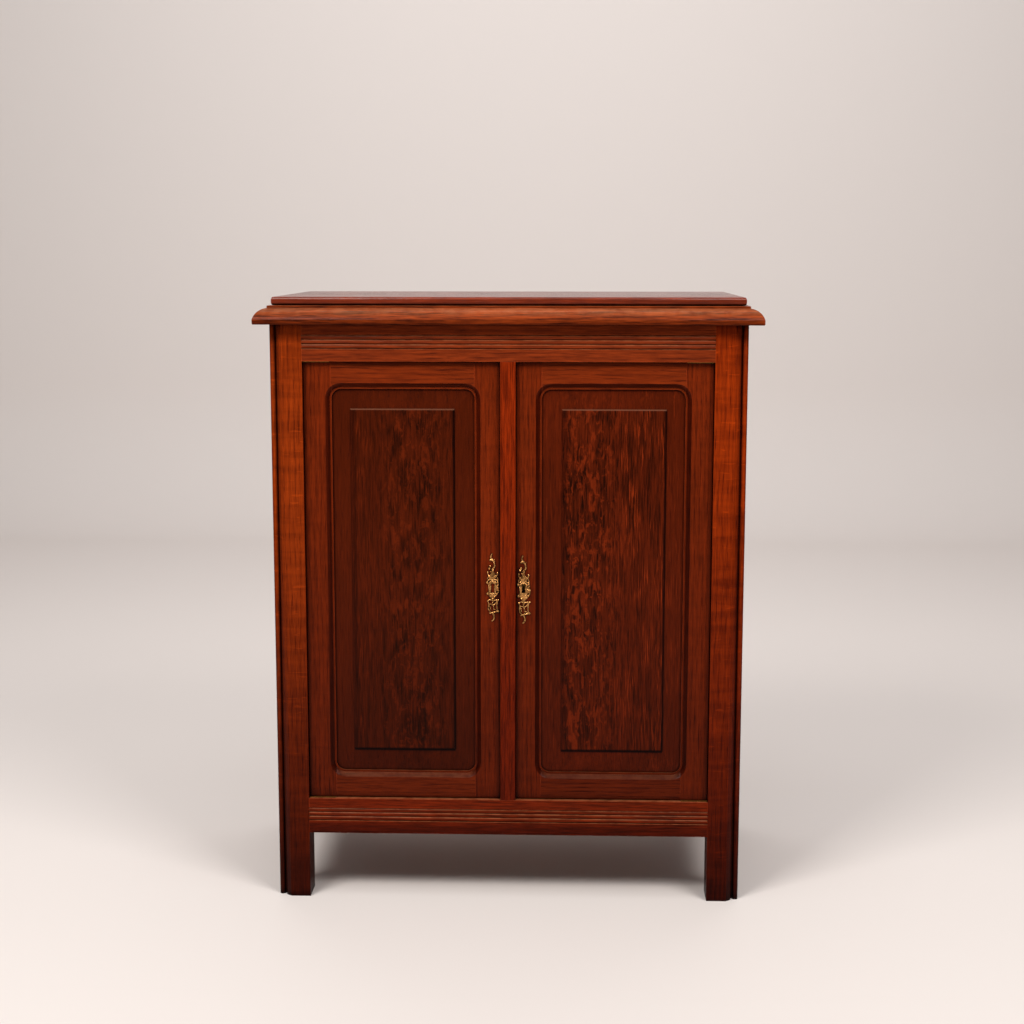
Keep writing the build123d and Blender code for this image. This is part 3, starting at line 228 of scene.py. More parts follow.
def handling_group():
    """Worn arrises, hollows darkened by collected dark polish and by painted shade, and which way a face looks.

    Upward faces get a painted sheen, as the light from above would give them; Returned ones turn away from the front
    and get painted shade.
    """
    inputs = [
        ("Edge Size", NUMBER, 0.0012),
        ("Corner Size", NUMBER, 0.014),
        ("Upward From", NUMBER, 0.45),
        ("Place", VECTOR, None),
    ]
    outputs = [("Worn", NUMBER), ("Hollow Grime And Shade", NUMBER), ("Upward", NUMBER), ("Returned", NUMBER)]
    g, given, put = new_group("Handling", inputs, outputs)
    bevel = g.node("ShaderNodeBevel", samples=6)
    g.feed(given["Edge Size"], bevel.inputs["Radius"])
    flat = g.node("ShaderNodeNewGeometry").outputs["Normal"]
    dot = g.node("ShaderNodeVectorMath", operation="DOT_PRODUCT")
    g.feed(bevel.outputs["Normal"], dot.inputs[0])
    g.feed(flat, dot.inputs[1])
    turned = g.between(dot.outputs["Value"], 0.995, 0.80)
    # Hollows darkened by the AO: collected dark polish, and painted shade where little light reaches.
    recess = g.node("ShaderNodeAmbientOcclusion", samples=6)
    g.feed(given["Corner Size"], recess.inputs["Distance"])
    hollow = g.between(recess.outputs["AO"], 0.90, 0.35)
    outward = g.between(recess.outputs["AO"], 0.55, 0.95)
    patchy = g.between(g.noise(g.stretch(given["Place"], (70.0, 70.0, 70.0)), 1.0, 4.0, 0.6), 0.35, 0.62)
    worn = g.math("MULTIPLY", g.math("MULTIPLY", turned, outward), g.math("MULTIPLY_ADD", patchy, 0.7, 0.3))
    g.feed(worn, put["Worn"])
    g.feed(hollow, put["Hollow Grime And Shade"])
    # Masks fixed to the piece for painted light: upward faces for a painted sheen, faces turned from the front for
    # painted shade.
    _, facing_back, facing_up = g.split(g.node("ShaderNodeTexCoord").outputs["Normal"])
    upward = g.between(facing_up, given["Upward From"], g.math("ADD", given["Upward From"], 0.5))
    returned = g.between(facing_back, -0.96, -0.65)
    g.feed(g.math("MULTIPLY", upward, g.math("MULTIPLY_ADD", patchy, 0.6, 0.4)), put["Upward"])
    g.feed(g.math("MULTIPLY", returned, g.math("SUBTRACT", 1.0, upward)), put["Returned"])
    return g.tree


def raised_field_group():
    """Where a panel's raised field lies, the painted shadow at its sides and foot, and the painted highlight on its top
    edge.

    The field's centre and half size are across and up, in metres.
    """
    inputs = [("Place", VECTOR, None), ("Centre", VECTOR, None), ("Half Size", VECTOR, None)]
    g, given, put = new_group("Raised field", inputs, [("Field", NUMBER), ("Shadow", NUMBER), ("Edge", NUMBER)])
    across, _, up = g.split(g.vectors("SUBTRACT", given["Place"], given["Centre"]))
    half_across, _, half_up = g.split(given["Half Size"])
    beyond_right = g.math("SUBTRACT", across, half_across)
    beyond_left = g.math("SUBTRACT", g.math("MULTIPLY", across, -1.0), half_across)
    beyond_top = g.math("SUBTRACT", up, half_up)
    beyond_foot = g.math("SUBTRACT", g.math("MULTIPLY", up, -1.0), half_up)
    beyond_side = g.math("MAXIMUM", beyond_right, beyond_left)
    beyond_end = g.math("MAXIMUM", beyond_top, beyond_foot)
    in_height = g.between(beyond_end, 0.002, 0.0)
    in_width = g.between(beyond_side, 0.002, 0.0)

    def line(beyond, middle, width, strength, within):
        """A soft line beside an edge of the field, strongest at its middle."""
        off = g.math("ABSOLUTE", g.math("SUBTRACT", beyond, middle))
        return g.math("MULTIPLY", g.between(off, width, width * 0.2, 0.0, strength), within)

    # Painted shadow below the field's step: strong on the right, weak on the left, strongest at the foot, none at the
    # top.
    right = line(beyond_right, 0.0002, 0.0028, 0.9, in_height)
    left = line(beyond_left, -0.003, 0.006, 0.45, in_height)
    foot = line(beyond_foot, 0.0004, 0.0038, 1.0, in_width)
    g.feed(g.between(g.math("MAXIMUM", beyond_side, beyond_end), 0.0006, -0.0006), put["Field"])
    g.feed(g.math("MAXIMUM", g.math("MAXIMUM", right, left), foot), put["Shadow"])
    # Painted highlight along the field's top edge.
    g.feed(line(beyond_top, 0.0, 0.0016, 1.0, in_width), put["Edge"])
    return g.tree


OAK_FIGURE = oak_figure_group()
HANDLING = handling_group()
RAISED_FIELD = raised_field_group()


def srgb(red, green, blue):
    """A screen colour of 0 to 255 as a shader's linear colour."""
    parts = [value / 255 for value in (red, green, blue)]
    linear = [part / 12.92 if part <= 0.04045 else ((part + 0.055) / 1.055) ** 2.4 for part in parts]
    return (*linear, 1.0)


def tinted(colour, times, plus=0.0):
    """A colour made brighter or darker, without going past white."""
    return tuple(min(1.0, part * times + plus) for part in colour[:3]) + (1.0,)


PORE_TINT = (0.40, 0.30, 0.26, 1.0)
# Painted shade for returned faces, painted sheen for upward faces, painted highlight for a raised field's top edge.
PAINTED_SHADE_TINT = (0.24, 0.18, 0.15, 1.0)
PAINTED_SHEEN = srgb(196, 124, 82)
PAINTED_FIELD_EDGE_HIGHLIGHT = srgb(132, 84, 62)
GRAIN_DEPTH = 0.3 * MM
NAP_DEPTH = 0.5 * MM


def new_material(name):
    """An empty material: its graph, its object coordinates and its shader."""
    made = bpy.data.materials.new(name)
    made.use_nodes = True
    made.node_tree.nodes.clear()
    graph = Graph(made.node_tree)
    shader = graph.node("ShaderNodeBsdfPrincipled")
    output = graph.node("ShaderNodeOutputMaterial")
    graph.feed(shader.outputs["BSDF"], output.inputs["Surface"])
    place = graph.node("ShaderNodeTexCoord").outputs["Object"]
    return made, graph, place, shader.inputs


def use_group(graph, tree, **values):
    """Places a node group and sets its inputs."""
    made = graph.node("ShaderNodeGroup", node_tree=tree)
    for key, value in values.items():
        graph.feed(value, made.inputs[key.replace("_", " ")])
    return made.outputs


def mitred(graph, place, one_way, other_way, centre, half_sizes, axes):
    """The board coordinates of a mitred frame: one way on two sides, the other on two."""
    parts = dict(zip("XYZ", graph.split(place)))
    reach = []
    for axis, middle, half in zip(axes, centre, half_sizes):
        distance = graph.math("ABSOLUTE", graph.math("SUBTRACT", parts[axis], middle))
        reach.append(graph.math("SUBTRACT", distance, half))
    pick = graph.math("GREATER_THAN", reach[0], reach[1])
    made = graph.node("ShaderNodeMix", data_type="VECTOR")
    graph.feed(pick, made.inputs["Factor"])
    graph.feed(graph.join(*[parts[axis] for axis in other_way]), made.inputs["A"])
    graph.feed(graph.join(*[parts[axis] for axis in one_way]), made.inputs["B"])
    return made.outputs["Result"]


# ---- Finishes ------------------------------------------------------------
def oak(name, grain, dark, light, heart=(0.3, 0.06), tilt=0.05, heart_along=0.0, heart_reach=9.0, seed=0.0,
        ring_width=0.007, waviness=0.012, rings=0.2, threads=0.45, pores=0.5, ripple=0.0, flecks=0.0, clouds=0.7,
        flames=0.0, fibres=0.0, grime_and_shade_tint=(0.16, 0.12, 0.10), corner=0.014, lit=0.0, lit_from=0.45, shaded=0.0,
        rough=0.36, coat=0.02, gloss=0.035, wear=0.5, frame_box=None, field=None, dim=None):
    """French-polished stained oak.

    grain names the axes across, into and along the board. frame_box gives a mitred
    frame's second grain, its centre and its half sizes, where the grain turns a corner.
    field gives a raised field's centre and half size, for the painted shadow at its step and the painted
    highlight on its top edge. lit and shaded say how pale the painted sheen on its upward faces is, from which
    upward slope, and how dark the painted shade on its returned ones. dim gives an axis, two places on it and how
    dark the colour is at the first one: painted shade for light that falls off downwards, with some darker polish low
    down.
    """
    made, g, place, shader = new_material(name)
    parts = dict(zip("XYZ", g.split(place)))
    if frame_box:
        board = mitred(g, place, grain, *frame_box)
    else:
        board = g.join(*[parts[axis] for axis in grain])
    moved = g.vectors("SUBTRACT", board, (0.0, 0.0, heart_along))
    figure = use_group(g, OAK_FIGURE, Board=moved, Heart_Across=heart[0], Heart_Depth=heart[1],
                       Heart_Tilt=tilt, Ring_Width=ring_width, Waviness=waviness, Heart_Reach=heart_reach, Seed=seed)
    handled = use_group(g, HANDLING, Place=place, Corner_Size=corner, Upward_From=lit_from)
    tone = g.math("MULTIPLY", g.math("SUBTRACT", figure["Threads"], 0.5), threads)
    tone = g.math("MULTIPLY_ADD", figure["Rings"], -rings, tone)
    tone = g.math("MULTIPLY_ADD", g.math("SUBTRACT", figure["Ripple"], 0.5), ripple, tone)
    tone = g.math("MULTIPLY_ADD", figure["Flecks"], flecks, tone)
    flaming = g.math("MULTIPLY", figure["Flames"], flames)
    bright = g.math("MAXIMUM", flaming, g.math("MULTIPLY", figure["Fibres"], fibres))
    if field:
        raised = use_group(g, RAISED_FIELD, Place=place, Centre=field[0], Half_Size=field[1])
        on_field = g.math("MULTIPLY_ADD", raised["Field"], 0.6, 0.4)
        tone = g.math("MULTIPLY", tone, on_field)
        bright = g.math("MULTIPLY", bright, on_field)
        tone = g.math("MULTIPLY_ADD", raised["Field"], -0.12, g.math("ADD", tone, 0.12))
    tone = g.math("ADD", tone, 0.5)
    tone = g.math("MULTIPLY_ADD", g.math("SUBTRACT", figure["Clouds"], 0.5), clouds, tone, clamp=True)
    colour = g.mix(bright, g.mix(tone, dark, light), tinted(light, 1.9))
    pored = g.multiply(g.math("MULTIPLY", figure["Pores"], pores), colour, PORE_TINT)
    # Hollows darkened: collected dark polish, and painted shade.
    grimed_and_shaded = g.multiply(handled["Hollow Grime And Shade"], pored, (*grime_and_shade_tint, 1.0))
    surface_colour = g.mix(g.math("MULTIPLY", handled["Worn"], wear), grimed_and_shaded, tinted(light, 1.7, 0.006))
    # Painted shade on faces turned away from the front.
    if shaded:
        surface_colour = g.multiply(g.math("MULTIPLY", handled["Returned"], shaded), surface_colour, PAINTED_SHADE_TINT)
    # Painted sheen on upward faces, as the light from above would give.
    if lit:
        surface_colour = g.mix(g.math("MULTIPLY", handled["Upward"], lit), surface_colour, PAINTED_SHEEN)
    # Painted shadow at the raised field's sides and foot, and a painted highlight along its top edge.
    if field:
        surface_colour = g.multiply(raised["Shadow"], surface_colour, (*grime_and_shade_tint, 1.0))
        surface_colour = g.mix(g.math("MULTIPLY", raised["Edge"], 0.55), surface_colour, PAINTED_FIELD_EDGE_HIGHLIGHT)
    # Darker towards the low end of the axis: painted shade for light falling off downwards, with some darker polish low
    # down.
    if dim:
        axis, low, high, least = dim
        level = g.between(parts[axis], low, high, least, 1.0)
        warm = g.join(level, g.math("POWER", level, 1.2), g.math("POWER", level, 1.35))
        surface_colour = g.multiply(1.0, surface_colour, warm)
    g.feed(surface_colour, shader["Base Color"])
    dull = g.math("MULTIPLY_ADD", figure["Clouds"], 0.16, rough - 0.08)
    g.feed(g.math("MULTIPLY_ADD", figure["Pores"], 0.15, dull), shader["Roughness"])
    height = g.math("SUBTRACT", g.math("MULTIPLY", figure["Threads"], 0.4), figure["Pores"])
    g.feed(g.bump(height, GRAIN_DEPTH, 0.3), shader["Normal"])
    shader["Coat Weight"].default_value = coat
    shader["Coat Roughness"].default_value = 0.14
    shader["Specular IOR Level"].default_value = gloss
    return made


def metal(name, colour, dull_colour, rough=0.3, tarnish=0.5, grain=160.0, metallic=1.0, wear=0.4, recess=0.25,
          relief=0.12):
    """A metal with tarnish in patches, its recesses darkened by dirt and by painted shade, and its worn high places
    brightened by wear and by a painted highlight.
    """
    made, g, place, shader = new_material(name)
    handled = use_group(g, HANDLING, Place=place, Edge_Size=0.0006, Corner_Size=0.003)
    patches = g.between(g.noise(place, grain, 4.0, 0.65), 0.35, 0.7)
    body = g.mix(g.math("MULTIPLY", patches, tarnish), colour, dull_colour)
    # Recesses darkened: dirt, and painted shade.
    recess_grimed_and_shaded = g.multiply(handled["Hollow Grime And Shade"], body, (recess, recess * 0.85, recess * 0.7, 1.0))
    # Worn high places brightened: wear, and a painted highlight.
    worn = g.math("MULTIPLY", handled["Worn"], wear)
    g.feed(g.mix(worn, recess_grimed_and_shaded, tinted(colour, 1.35, 0.02)), shader["Base Color"])
    g.feed(g.math("MULTIPLY_ADD", patches, 0.22, rough), shader["Roughness"])
    shader["Metallic"].default_value = metallic
    g.feed(g.bump(g.noise(place, grain * 6.0, 3.0, 0.6), GRAIN_DEPTH, relief), shader["Normal"])
    return made


def baize(name, colour):
    """The short nap of the turntable's cloth."""
    made, g, place, shader = new_material(name)
    nap = g.noise(place, 2600.0, 3.0, 0.7)
    cloud = g.noise(place, 30.0, 3.0)
    tone = g.math("MULTIPLY_ADD", cloud, 0.5, g.math("MULTIPLY", nap, 0.6), clamp=True)
    g.feed(g.mix(tone, tinted(colour, 0.45), colour), shader["Base Color"])
    g.feed(g.math("MULTIPLY_ADD", nap, 0.1, 0.85), shader["Roughness"])
    g.feed(g.bump(nap, NAP_DEPTH), shader["Normal"])
    shader["Sheen Weight"].default_value = 0.4
    return made


# The axes across, into and along a board.
UPRIGHT = ("X", "Y", "Z")
LEVEL = ("Z", "Y", "X")
SIDE_UPRIGHT = ("Y", "X", "Z")
SIDE_LEVEL = ("Z", "X", "Y")
FLAT = ("Y", "Z", "X")
FLAT_ACROSS = ("X", "Z", "Y")

CASE_EASE = 0.8 * MM
FINE_EASE = 0.5 * MM
WELD_GAP = 0.02 * MM
SHARP_FROM = math.radians(28.0)


def finish_for(node, material):
    """Gives a CAD node its finish."""
    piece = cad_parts[node]
    piece.data.materials.clear()
    piece.data.materials.append(material)


def soften(node, width):
    """Eases the arrises of a CAD node, as a worn plane or sandpaper leaves them."""
    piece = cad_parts[node]
    weld = piece.modifiers.new("Weld", "WELD")
    weld.merge_threshold = WELD_GAP
    ease = piece.modifiers.new("Ease", "BEVEL")
    ease.width = width
    ease.segments = 2
    ease.limit_method = "ANGLE"
    ease.angle_limit = SHARP_FROM


POST_DARK = srgb(84, 24, 3)
POST_LIGHT = srgb(154, 56, 10)
RAIL_DARK = srgb(72, 22, 8)
RAIL_LIGHT = srgb(146, 56, 20)
DOOR_DARK = srgb(68, 20, 4)
DOOR_LIGHT = srgb(128, 42, 9)
INSIDE_DARK = srgb(74, 38, 18)
INSIDE_LIGHT = srgb(150, 88, 46)
# A raised field's margins from its panel's edges: hinge side, meeting side, top, foot.
FIELD_MARGINS = (37.5 * MM, 40.0 * MM, 39.0 * MM, 43.0 * MM)


def dress_carcase():
    # Reeded rails: painted sheen on the reeds' upward halves, painted shade on their lower halves and deep in their
    # grooves.
    reeded = {
        "rings": 0.1, "threads": 0.6, "wear": 0.9, "grime_and_shade_tint": (0.06, 0.05, 0.04), "corner": 0.004,
        "lit": 0.3, "lit_from": 0.2, "shaded": 1.0,
    }
    posts = (
        ("post_front_left", 1.3, POST_DARK, POST_LIGHT),
        ("post_front_right", 4.1, srgb(84, 20, 2), srgb(158, 52, 6)),
        ("posts_rear", 7.7, POST_DARK, POST_LIGHT),
    )
    # Posts: painted shade on their returned coves, and darker towards the feet for painted shade, with some darker
    # polish there.
    for node, seed, dark, light in posts:
        finish_for(node, oak(f"Oak_{node}", UPRIGHT, dark, light, seed=seed, ripple=0.30, flecks=0.4, pores=0.8,
                             rings=0.1, threads=0.45, clouds=1.1, heart=(0.9, 0.2), shaded=0.3,
                             dim=("Z", -0.1, 0.75, 0.12)))
    finish_for("rail_front_top", oak("Oak_top_rail", LEVEL, RAIL_DARK, RAIL_LIGHT, seed=2.2,
                                     heart=(1.4, 0.2), **reeded))
    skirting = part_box("rail_front_bottom")[0].z
    # Bottom rail darker below its reeds: painted shade, with some darker polish.
    finish_for("rail_front_bottom", oak("Oak_bottom_rail", LEVEL, srgb(44, 9, 1), srgb(126, 37, 7), seed=3.7,
                                        heart=(0.5, 0.2), dim=("Z", skirting + 0.008, skirting + 0.024, 0.45),
                                        **reeded))
    finish_for("centre_mullion", oak("Oak_mullion", UPRIGHT, srgb(76, 17, 2), srgb(148, 44, 6), seed=5.4, rings=0.1,
                                     threads=0.8, heart=(0.8, 0.2), dim=("Z", 0.1, 0.8, 0.45)))
    middle = (CORNICE[0] + CORNICE[1]) / 2
    turn = (LEVEL, (middle.x, middle.y), (middle.x - POST_OUTER, middle.y - FRONT), ("X", "Y"))
    foot = CORNICE[0].z
    # Cornice: painted sheen on its upward faces, and darker at its foot for painted shade, with some darker polish.
    finish_for("cornice", oak("Oak_cornice", SIDE_LEVEL, srgb(64, 21, 7), srgb(156, 64, 22), seed=6.1, rings=0.2,
                              threads=0.8, heart=(1.3, 0.3), frame_box=turn, wear=0.9, lit=0.25,
                              dim=("Z", foot - 0.002, foot + 0.013, 0.4)))
    finish_for("rails_side", oak("Oak_side_rails", SIDE_LEVEL, RAIL_DARK, RAIL_LIGHT, seed=8.3))
    finish_for("rails_back", oak("Oak_back_rails", LEVEL, RAIL_DARK, RAIL_LIGHT, seed=9.3))
    finish_for("panels_side", oak("Oak_side_panels", SIDE_UPRIGHT, srgb(38, 12, 4), srgb(104, 36, 12), seed=1.9,
                                  rings=0.3, heart=(0.02, 0.03), heart_reach=0.12, tilt=0.04, ring_width=0.009,
                                  flames=0.3, fibres=0.6, dim=("Z", 0.0, 0.8, 0.5)))
    finish_for("panel_back", oak("Oak_back_panel", UPRIGHT, INSIDE_DARK, INSIDE_LIGHT, seed=1.4, rings=0.25,
                                 heart=(0.1, 0.0), tilt=0.05, rough=0.6, coat=0.0))
    finish_for("lid_plate", oak("Oak_lid", FLAT, srgb(66, 20, 8), srgb(136, 50, 22), seed=2.8, rings=0.3,
                                threads=0.6, heart=(0.02, 0.02), heart_reach=0.14, tilt=0.03, ring_width=0.011,
                                rough=0.24, coat=0.12, gloss=0.18))
    for node in ("post_front_left", "post_front_right", "posts_rear", "rails_side", "rails_back"):
        soften(node, CASE_EASE)
    for node in ("rail_front_top", "rail_front_bottom", "centre_mullion", "cornice", "lid_plate"):
        soften(node, FINE_EASE)


def raised_field(side):
    """The centre and half size of a door panel's raised field."""
    low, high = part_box(f"door_{side}_panel")
    hinge, meeting, top, foot = FIELD_MARGINS
    left, right = (hinge, meeting) if side == "left" else (meeting, hinge)
    field_low = Vector((low.x + left, low.y, low.z + foot))
    field_high = Vector((high.x - right, high.y, high.z - top))
    return tuple((field_low + field_high) / 2), tuple((field_high - field_low) / 2)


def dress_doors():
    # Door frames: painted shade on the mouldings' returned faces and hollows, painted sheen on upward ledges, darker
    # towards the bottom for painted shade.
    moulded = {
        "rings": 0.1, "threads": 0.45, "pores": 0.8, "clouds": 0.7, "wear": 0.9, "grime_and_shade_tint": (0.10, 0.08, 0.06),
        "corner": 0.016, "lit": 0.25, "shaded": 0.95,
    }
    for side, seed, foot in (("left", 0.6, 0.65), ("right", 3.3, 0.5)):
        finish_for(f"door_{side}_stiles", oak(f"Oak_{side}_stiles", UPRIGHT, DOOR_DARK, DOOR_LIGHT, seed=seed,
                                              ripple=0.12, heart=(0.7, 0.15), dim=("Z", 0.1, 0.8, 0.62), **moulded))
        finish_for(f"door_{side}_rails", oak(f"Oak_{side}_rails", LEVEL, srgb(70, 20, 5), srgb(138, 50, 14),
                                             seed=seed + 1.1, heart=(1.3, 0.15), dim=("Z", 0.15, 0.8, foot), **moulded))
        for part in ("stiles", "rails"):
            soften(f"door_{side}_{part}", FINE_EASE)
    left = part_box("door_left_panel")
    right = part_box("door_right_panel")
    # Panels: painted shadow and painted highlight at the raised field's step, darker towards the bottom for painted
    # shade.
    raised = {"wear": 0.7, "tilt": 0.05, "ring_width": 0.006, "grime_and_shade_tint": (0.10, 0.08, 0.07), "corner": 0.010}
    finish_for("door_left_panel", oak("Oak_left_panel", UPRIGHT, srgb(30, 7, 1), srgb(86, 26, 5), seed=0.9,
                                      rings=0.28, threads=0.5, clouds=0.8, pores=0.6, flames=0.3, fibres=0.45,
                                      heart=(left[1].x - 0.10, 0.03), heart_along=0.23, heart_reach=0.085,
                                      waviness=0.012, field=raised_field("left"), dim=("Z", 0.05, 0.6, 0.65), **raised))
    finish_for("door_right_panel", oak("Oak_right_panel", UPRIGHT, srgb(28, 6, 1), srgb(96, 29, 6), seed=2.9,
                                       rings=0.28, threads=0.7, pores=0.6, flames=0.5, fibres=1.0,
                                       heart=(right[0].x + 0.075, 0.03), heart_along=0.3, heart_reach=0.075,
                                       waviness=0.014, field=raised_field("right"), dim=("Z", 0.05, 0.6, 0.65),
                                       **raised))


def dress_inside():
    boards = {
        "bottom_board": FLAT, "record_shelf": FLAT, "horn_top": FLAT, "motor_board": FLAT,
        "lid_battens": FLAT_ACROSS, "record_dividers": SIDE_UPRIGHT, "horn_floor": FLAT, "horn_sides": SIDE_LEVEL,
        "louvres": LEVEL, "deck_fascia": LEVEL,
    }
    for seed, (node, grain) in enumerate(boards.items()):
        polished = node in ("motor_board", "deck_fascia", "louvres", "lid_battens")
        finish_for(node, oak(f"Oak_{node}", grain, INSIDE_DARK, INSIDE_LIGHT, seed=seed * 1.7 + 0.4, rings=0.22,
                             threads=0.6, heart=(0.6, 0.2), rough=0.34 if polished else 0.5,
                             coat=0.3 if polished else 0.05))


def dress_metalwork():
    nickel = metal("Nickel_plate", srgb(205, 196, 182), srgb(140, 128, 108), rough=0.16, tarnish=0.35)
    steel = metal("Oiled_steel", srgb(128, 126, 122), srgb(78, 74, 70), rough=0.34, tarnish=0.5)
    brass = metal("Aged_brass", srgb(176, 134, 70), srgb(110, 74, 34), rough=0.3, tarnish=0.6)
    japan = metal("Black_japan", srgb(20, 19, 18), srgb(34, 30, 26), rough=0.3, tarnish=0.4, metallic=0.0)
    knob = metal("Ebonised_beech", srgb(24, 18, 16), srgb(44, 28, 20), rough=0.3, tarnish=0.5, metallic=0.0)
    finishes = {
        "tonearm_base": nickel, "tonearm": nickel, "soundbox": nickel, "deck_posts": nickel, "brake_lever": nickel,
        "speed_lever": nickel, "needle_cups": nickel, "crank": nickel, "crank_clips": nickel,
        "door_left_pivots": steel, "door_right_pivots": steel, "lock_case": steel, "motor_frame": steel,
        "winding_shaft": steel, "governor": steel, "turntable_spindle": steel,
        "lid_hinge_case_leaves": brass, "lid_hinge_lid_leaves": brass, "door_pivot_plates": brass, "lock_bolt": brass,
        "bolt_guide": brass, "door_bolt": brass, "winding_bush": brass, "spring_barrel": brass,
        "horn_throat": japan, "turntable_platter": japan, "crank_knob": knob,
    }
    for node, material in finishes.items():
        finish_for(node, material)
    finish_for("turntable_mat", baize("Green_baize", srgb(44, 70, 46)))


dress_carcase()
dress_doors()
dress_inside()
dress_metalwork()


# ---- Keyhole plates ------------------------------------------------------
# All in millimetres, right and up from the keyhole. The paths are drawn for a plate of
# this height, which is then scaled upright to the height of its CAD node.
PLATE_HEIGHT = 110.0
PLATE_LEFT = 8.5
PLATE_FOOT = 53.0
PLATE_BACK = 0.6
RIGHT_PLATE_DROP = 3.0
SCROLL_WEIGHT = 1.05
CAST_VOXEL = 0.3
SHIELD_BACK = 0.5
SHIELD_THICKNESS = 1.1
PEARL_PROUD = 0.4
PIN_RADIUS = 1.3
PIN_PROUD = 1.2
KEYHOLE_RADIUS = 2.9
KEYHOLE_PLACE = (0.3, 4.7)
CUTTER_DEPTH = 6.0
SLOT_PLACE = (0.0, -1.5)
SLOT_SIZE = (3.6, 12.6)
SLOT_FLARE = 1.6
TIP_HOOK = [(-0.8, 54.6, 1.1), (-2.4, 51.4, 1.3), (-2.6, 48.8, 1.2), (-1.4, 46.4, 1.3)]
LEAF = [(-4.8, 43.4, 1.2), (-2.2, 45.2, 2.1), (0.6, 44.2, 2.0), (3.6, 41.6, 1.1)]
C_CURVE = [(1.4, 41.6, 0.9), (3.4, 38.4, 1.5), (3.2, 34.4, 1.6), (1.2, 31.2, 1.3), (-1.6, 29.2, 0.9)]
CROWN_SCROLLS = [
    [(-7.2, 24.4, 0.9), (-6.2, 20.6, 0.8), (-6.6, 16.6, 1.0), (-7.6, 13.6, 0.8)],
    [(7.4, 23.4, 1.0), (6.8, 19.4, 0.8), (7.6, 15.6, 1.0), (8.8, 12.4, 0.8)],
    [(0.4, 25.4, 1.0), (0.4, 20.4, 1.3), (0.2, 15.2, 1.0)],
    [(-1.0, 24.4, 0.7), (-3.4, 19.6, 1.0), (-4.2, 14.8, 0.9)],
    [(1.8, 24.4, 0.7), (3.8, 19.8, 1.0), (4.8, 14.8, 0.9)],
]
ARCHES = [
    [(-7.4, 11.4, 0.9), (-4.4, 13.6, 1.1), (0.2, 12.4, 1.0), (4.4, 13.4, 1.1), (8.4, 10.8, 0.9)],
    [(-5.6, 8.4, 0.8), (-3.2, 10.4, 1.0), (0.4, 10.8, 1.0), (4.2, 10.2, 1.0), (6.6, 7.6, 0.8)],
]
CARTOUCHE_SCROLLS = [
    [(-8.6, 9.0, 1.3), (-6.0, 6.8, 1.2), (-4.8, 3.0, 1.0), (-4.6, -2.4, 1.0), (-5.0, -6.4, 1.1), (-7.4, -9.2, 1.3)],
    [(6.8, 9.6, 0.9), (9.2, 6.6, 1.2), (8.2, 2.4, 1.1), (5.2, 0.4, 1.0), (4.6, -3.6, 1.0), (5.0, -7.6, 1.1)],
    [(6.0, 1.8, 0.8), (9.4, 1.4, 1.1), (10.0, -1.6, 1.2), (8.0, -4.2, 1.1), (5.8, -2.6, 0.8)],
    [(9.4, -3.4, 0.9), (8.8, -6.8, 1.2), (6.6, -10.4, 1.3), (3.6, -13.6, 1.2), (1.4, -16.4, 0.9)],
    [(-7.0, -9.4, 1.2), (-3.6, -9.8, 1.3), (0.2, -9.6, 1.2), (4.4, -9.4, 1.1)],
    [(-5.4, -10.6, 1.0), (-3.4, -13.6, 1.3), (-0.6, -17.6, 1.2)],
]
WINDOW_SCROLLS = [
    [(-7.2, -20.6, 1.0), (-4.4, -18.4, 1.2), (-1.4, -19.2, 1.1), (0.6, -21.2, 1.2), (3.4, -19.0, 1.2),
     (9.2, -18.8, 1.0)],
    [(-6.6, -20.8, 0.9), (-5.6, -24.4, 1.0), (-6.0, -28.4, 1.1), (-6.2, -33.0, 1.1), (-4.2, -37.4, 1.1),
     (-1.2, -40.2, 1.0)],
    [(-5.4, -26.4, 0.9), (-2.2, -25.4, 1.0), (0.8, -27.6, 1.1), (3.8, -26.0, 1.0), (6.8, -21.4, 0.9)],
    [(8.2, -19.6, 0.9), (6.8, -24.4, 1.0), (6.4, -29.4, 1.0), (7.2, -35.8, 1.0)],
    [(-4.8, -28.4, 0.8), (-2.6, -30.8, 0.9), (-3.0, -34.4, 0.8)],
    [(1.0, -28.8, 0.9), (2.6, -31.6, 1.0), (1.2, -34.2, 0.9), (4.4, -35.0, 0.8)],
    [(-4.6, -40.8, 0.9), (-0.8, -39.2, 1.1), (3.4, -38.4, 1.3), (7.0, -37.2, 1.3), (10.0, -36.8, 0.8)],
]
TAIL = [(0.2, -40.0, 1.1), (2.2, -43.6, 1.4), (2.4, -47.8, 1.6), (0.6, -51.4, 1.3), (-1.4, -52.8, 1.0)]
PEARLS = [
    (-4.8, 31.2, 2.1), (0.6, 27.2, 1.7), (-2.4, 26.0, 1.4), (-7.0, 25.4, 1.5), (7.6, 24.2, 1.6), (-5.0, 19.0, 1.9),
    (-8.0, 8.8, 2.1), (8.2, -1.2, 2.0), (-7.6, -9.4, 2.0), (9.0, -19.0, 1.5), (-7.0, -20.8, 1.5), (9.2, -37.0, 1.6),
    (-3.4, 34.6, 1.8), (5.6, 18.6, 1.7), (7.8, 9.4, 1.8), (8.0, 4.2, 1.7), (6.6, -9.6, 1.8), (-5.4, 3.4, 1.5),
    (-2.6, -13.8, 1.7), (2.8, -13.4, 1.6), (0.2, -17.2, 1.6),
]
PIN_PLACES = [(1.2, 29.2), (0.2, -23.4)]


def clear_selection():
    if bpy.context.mode != "OBJECT":
        bpy.ops.object.mode_set(mode="OBJECT")
    bpy.ops.object.select_all(action="DESELECT")


